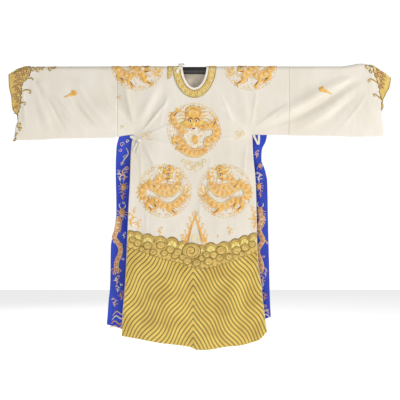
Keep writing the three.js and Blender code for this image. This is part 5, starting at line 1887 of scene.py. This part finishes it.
class Finishes:
    """All the materials of the robe."""

    def __init__(self) -> None:
        """Makes each material once."""
        self.satin = SatinFinish("cream_satin", (244, 238, 226), (234, 224, 206)).make()
        # The lining's pinkish cream is its own colour. Its lightness, above the outer satin, is painted
        # light for the shaded inside of the neck.
        self.lining = SatinFinish("cream_lining_with_painted_light", (255, 243, 222), (248, 230, 205), 0.6, 0.05, 0.6).make()
        # Painted highlight: the ties are the robe's own cream satin, and this whiter copy stands in for the
        # light they catch. The collar binding takes it too.
        self.ties = SatinFinish("tie_satin_painted_highlight", (252, 249, 240), (238, 231, 214), 0.5, 0.1, 1.4).make()
        self.blue = SatinFinish("blue_satin", (40, 76, 212), (26, 48, 172), 0.45, 0.04, 0.8).make()
        self.water = WaterFinish().make()
        self.ochre = ThreadFinish("ochre_ground", (246, 204, 124), (226, 170, 88), 0.45, 0.0, 0.6,
                                  2.4).make()
        self.gold_ground = ThreadFinish("gold_ground", (238, 207, 118), (212, 174, 84), 0.45, 0.0, 0.6,
                                        2.4).make()
        colours = {
            GOLD: ((240, 208, 118), (214, 174, 84)),
            OUTLINE: ((150, 120, 44), (118, 92, 28)),
            ORANGE: ((250, 204, 112), (236, 172, 74)),
            WHITE: ((252, 244, 228), (238, 216, 184)),
            DARK: ((52, 36, 26), (30, 22, 18)),
            RED: ((190, 58, 44), (150, 40, 32)),
            BRIGHT: ((254, 236, 150), (242, 212, 106)),
            PINK: ((246, 214, 190), (226, 168, 138)),
            RUST: ((232, 170, 108), (212, 140, 80)),
            BROWN: ((134, 76, 36), (98, 50, 24)),
            PALE: ((240, 218, 170), (226, 196, 140)),
        }
        self.threads = [
            ThreadFinish(f"{thread.name.lower()}_thread", light, deep).make()
            for thread, (light, deep) in colours.items()
        ]
        self.rod = RodFinish().make()


@dataclass
class Studio:
    """A pale plain floor, soft light and the camera at the photograph's angle, in metres."""

    field_width: float = 2.0
    distance: float = 6.0
    middle_x: float = 0.0275
    middle_z: float = -0.6475
    floor_z: float = -1.62

    def floor(self) -> None:
        """Lays the floor, as a fine sheet with a faint unevenness in its material."""
        tree = Tree("pale_floor")
        speckle = tree.noise(tree.place("Object"), 8.0, 2.0)
        color = tree.mix(speckle, (0.93, 0.93, 0.93, 1.0), (0.96, 0.96, 0.96, 1.0))
        material = tree.finish(color, tree.bump(speckle, 0.02, 0.2), 0.85, 0.0)
        tree.shader.inputs["Emission Color"].default_value = (1.0, 1.0, 1.0, 1.0)
        tree.shader.inputs["Emission Strength"].default_value = 0.6
        mesh = bpy.data.meshes.new("floor")
        size = 7.0
        corners = [(-size, -size, self.floor_z), (size, -size, self.floor_z), (size, size, self.floor_z),
                   (-size, size, self.floor_z)]
        mesh.from_pydata(corners, [], [(0, 1, 2, 3)])
        mesh.materials.append(material)
        floor = bpy.data.objects.new("floor", mesh)
        bpy.context.scene.collection.objects.link(floor)

    def light(self, name: str, place: Triple, size: float, power: float) -> None:
        """Hangs a soft square light that faces the robe's middle."""
        lamp = bpy.data.lights.new(name, "AREA")
        lamp.size, lamp.energy = size, power
        thing = bpy.data.objects.new(name, lamp)
        bpy.context.scene.collection.objects.link(thing)
        thing.location = place
        aim = np.array([0.0, 0.0, -0.6]) - np.array(place)
        thing.rotation_euler = (math.acos(-aim[2] / np.linalg.norm(aim)), 0.0,
                                math.atan2(aim[1], aim[0]) - math.pi / 2)

    def air(self, ambient: float) -> None:
        """Fills the air with white light, seen white by the camera and softer by the robe."""
        world = bpy.data.worlds.new("studio_air")
        bpy.context.scene.world = world
        world.use_nodes = True
        nodes, links = world.node_tree.nodes, world.node_tree.links
        paths = nodes.new("ShaderNodeLightPath")
        strength = nodes.new("ShaderNodeMapRange")
        strength.inputs[3].default_value, strength.inputs[4].default_value = ambient, 1.05
        links.new(paths.outputs["Is Camera Ray"], strength.inputs[0])
        links.new(strength.outputs[0], nodes["Background"].inputs["Strength"])
        nodes["Background"].inputs["Color"].default_value = (1.0, 1.0, 1.0, 1.0)

    def camera(self) -> None:
        """Sets the camera: straight on, far enough that 2 m fill the picture's width."""
        lens = bpy.data.cameras.new("camera")
        lens.sensor_width = 36.0
        lens.lens = 36.0 * self.distance / self.field_width
        camera = bpy.data.objects.new("camera", lens)
        bpy.context.scene.collection.objects.link(camera)
        camera.location = (self.middle_x, -self.distance, self.middle_z)
        camera.rotation_euler = (math.pi / 2, 0.0, 0.0)
        bpy.context.scene.camera = camera

    def build(self) -> None:
        """Sets up the whole studio."""
        self.floor()
        self.air(0.2)
        self.light("key_light", (5.0, -3.0, 2.6), 1.3, 215.0)
        self.light("fill_light", (-1.6, -5.2, 0.4), 1.4, 36.0)
        self.light("back_light", (-1.8, 3.6, 1.4), 2.0, 70.0)
        bpy.context.scene.view_settings.view_transform = "Standard"
        self.camera()


@dataclass(frozen=True)
class SheetSize:
    """What a piece of cloth was cut to, in metres, and how it is held."""

    name: str
    width: float
    length: float
    held: str
    rests_on: tuple[str, ...]
    area: float | None = None


# Each strip's node, its line across and down from the rod's axis, and its width.
STRIPS = (
    ("underarm_tie_band", ((-322, 331), (-306, 336), (-289, 345)), 14.0),
    ("underarm_tie_long", ((-284, 362), (-294, 380), (-306, 398)), 13.0),
    ("underarm_tie_short", ((-271, 364), (-278, 386), (-287, 416)), 13.0),
)
LEAN = np.array([[1, 0, 0], [0, math.cos(0.3), -math.sin(0.3)], [0, math.sin(0.3), math.cos(0.3)]])
UPRIGHT = np.array([[1, 0, 0], [0, 0, 1], [0, -1, 0]])
# Each cloud's middle across and down, size, way and turn.
CLOUDS = ((-236, 352, 5.0, 1, 0.0), (224, 346, 5.0, -1, 0.0), (-40, 492, 5.0, 1, 0.5),
          (-2, 500, 5.4, -1, 0.0), (34, 492, 5.0, -1, -0.5), (-2, 518, 3.6, 1, 0.0))


@dataclass
class Workshop:
    """Makes the robe's pieces in a maker's order, and keeps those that stand for a node."""

    drape: Drape
    ground: Ground
    finishes: Finishes
    made: dict[str, Piece] = field(default_factory=dict)

    def sew_cloth(self) -> None:
        """Cuts and sews the front, the back and the sleeves."""
        cloth = Cloth(self.drape)
        for name, side, cell in (("front", FRONT, 5.2), ("back", BACK, 7.0)):
            points, keep = cloth.panel(side, cell)
            self.made[name] = cloth.shell(f"{name}_cloth", points, keep, False, self.finishes)
        for name, seam, cuff in (("sleeve_left", LEFT_SEAM, LEFT_CUFF), ("sleeve_right", RIGHT_SEAM,
                                                                         RIGHT_CUFF)):
            points = cloth.sleeve(seam, cuff, 6.0)
            self.made[name] = cloth.shell(f"{name}_cloth", points, None, True, self.finishes)

    def sew_collar(self) -> Collar:
        """Sews the binding, the band, its lapped end and the fret."""
        collar, ochre = Collar(self.ground), self.finishes.ochre
        # The binding takes the whiter tie satin, a painted highlight over the robe's cream.
        self.made["collar_rim"] = collar.ring("collar_binding", collar.rim_inner, collar.rim_outer, 240,
                                              7, 0.4, self.finishes.ties, "satin")
        self.made["collar_band"] = collar.ring("collar_band_cloth", collar.band_inner, collar.band_outer,
                                               280, 9, 0.0, ochre, "gold_thread")
        self.made["collar_tab"] = collar.lapped_end(ochre)
        collar.fret().build("collar_fret", self.finishes.threads)
        return collar

    def tie(self, collar: Collar) -> None:
        """Lays the strips, knots and loop, on the cloth as it is without its side edges."""
        # The ties take a whiter copy of the robe's satin, as a painted highlight.
        ties, finish = Ties(replace(self.ground, side_edges=False)), self.finishes.ties
        for name, path, width in STRIPS:
            line = [(x, down + QUARTER) for x, down in path]
            self.made[name] = ties.strip(f"{name}_cloth", line, width, 2.6, finish)
        over = collar.clearance + collar.thickness + 0.6
        path = [(-72, 12), (-80, 26), (-90, 44)]
        self.made["collar_tie"] = ties.strip("collar_tie_cloth", path, 13.0, over, finish)
        for name, loop, cord, turn in (("collar_knot", 9.0, 3.7, LEAN), ("underarm_knot", 5.6, 3.0,
                                                                         UPRIGHT)):
            low, high = (np.array(corner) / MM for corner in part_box(name))
            self.made[name] = ties.knot(f"{name}_cloth", loop, cord, 0.75, turn, (low + high) / 2, finish)
        self.made["underarm_loop"] = ties.loop("underarm_loop_cloth", finish)

    def embroider(self, name: str, side: Side) -> None:
        """Sews the waves, badges and clouds of the front or the back."""
        ground = self.ground
        hem = WaveHem(ground, side, 3.0 if side is FRONT else 4.0)
        hem.water().build(f"{name}_water", [self.finishes.water])
        hem.base().build(f"{name}_wave_ground", [self.finishes.gold_ground])
        if side is BACK:
            ground = replace(ground, v=-ground.v[::-1], points=ground.points[::-1],
                             normals=ground.normals[::-1])
        work = Embroidery(ground)
        hem.waves(work)
        hem.sprays(work)
        DragonWork(work.at(-3.0, 329.0)).chest_badge()
        for x, flip in ((-149.0, False), (151.0, True)):
            DragonWork(work.at(x, 633.0, flip)).side_badge()
        for x, y, size, way, turn in CLOUDS:
            work.at(x, y, False, turn).cloud(0, 0, size, PALE, way)
        work.parts.build(f"{name}_embroidery", self.finishes.threads)

    def embroider_shoulders(self) -> None:
        """Sews the shoulder badges and the clouds on the sleeves."""
        work = Embroidery(self.ground)
        for x, flip in ((-285.0, False), (280.0, True)):
            DragonWork(work.at(x, 0.0, flip)).shoulder_badge()
        for x, y, way in ((-607.0, 146.0, 1.0), (640.0, 128.0, -1.0)):
            work.at(x, y).drift(way)
        for x, y, size, way in ((-375, 165, 2.5, 1), (-362, 310, 2.0, -1)):
            work.at(x, y).cloud(0, 0, size, GOLD, way)
        work.parts.build("shoulder_embroidery", self.finishes.threads)

    def embroider_cuffs(self) -> None:
        """Sews the gold ground and the scales of both cuffs."""
        for name, *pattern in CUFFS:
            cuff, work = Cuff(self.ground, *pattern), Embroidery(self.ground, 1.0, step=2.6)
            cuff.patch().build(f"cuff_{name}_ground", [self.finishes.gold_ground])
            cuff.edging(work)
            work.parts.build(f"cuff_{name}_embroidery", self.finishes.threads)

    def sew_wings(self) -> None:
        """Sews the wings and their embroidery."""
        for name, sizes, pattern in WINGS:
            wing = Wing(self.drape, f"{name}_cloth", *sizes)
            self.made[name] = wing.cloth(self.finishes)
            sew_wing(wing, pattern, self.finishes)

    def declare(self, frame: dict) -> None:
        """Hides the node each piece stands for, and gives the rod its finish."""
        for node, piece in self.made.items():
            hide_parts(node)
        for material_slot in frame["nodes"]["rod"].material_slots:
            material_slot.material = self.finishes.rod


def main() -> None:
    """Builds the robe in a maker's order: cloth, collar, ties, waves, badges, cuffs, wings."""
    logging.basicConfig(level=logging.INFO, format="%(name)s: %(message)s")
    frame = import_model()
    Studio().build()
    drape = Drape()
    shop = Workshop(drape, robe_ground(drape), Finishes())
    shop.sew_cloth()
    shop.tie(shop.sew_collar())
    shop.embroider("front", FRONT)
    shop.embroider("back", BACK)
    shop.embroider_shoulders()
    shop.embroider_cuffs()
    shop.sew_wings()
    shop.declare(frame)


if __name__ == "__main__":
    main()
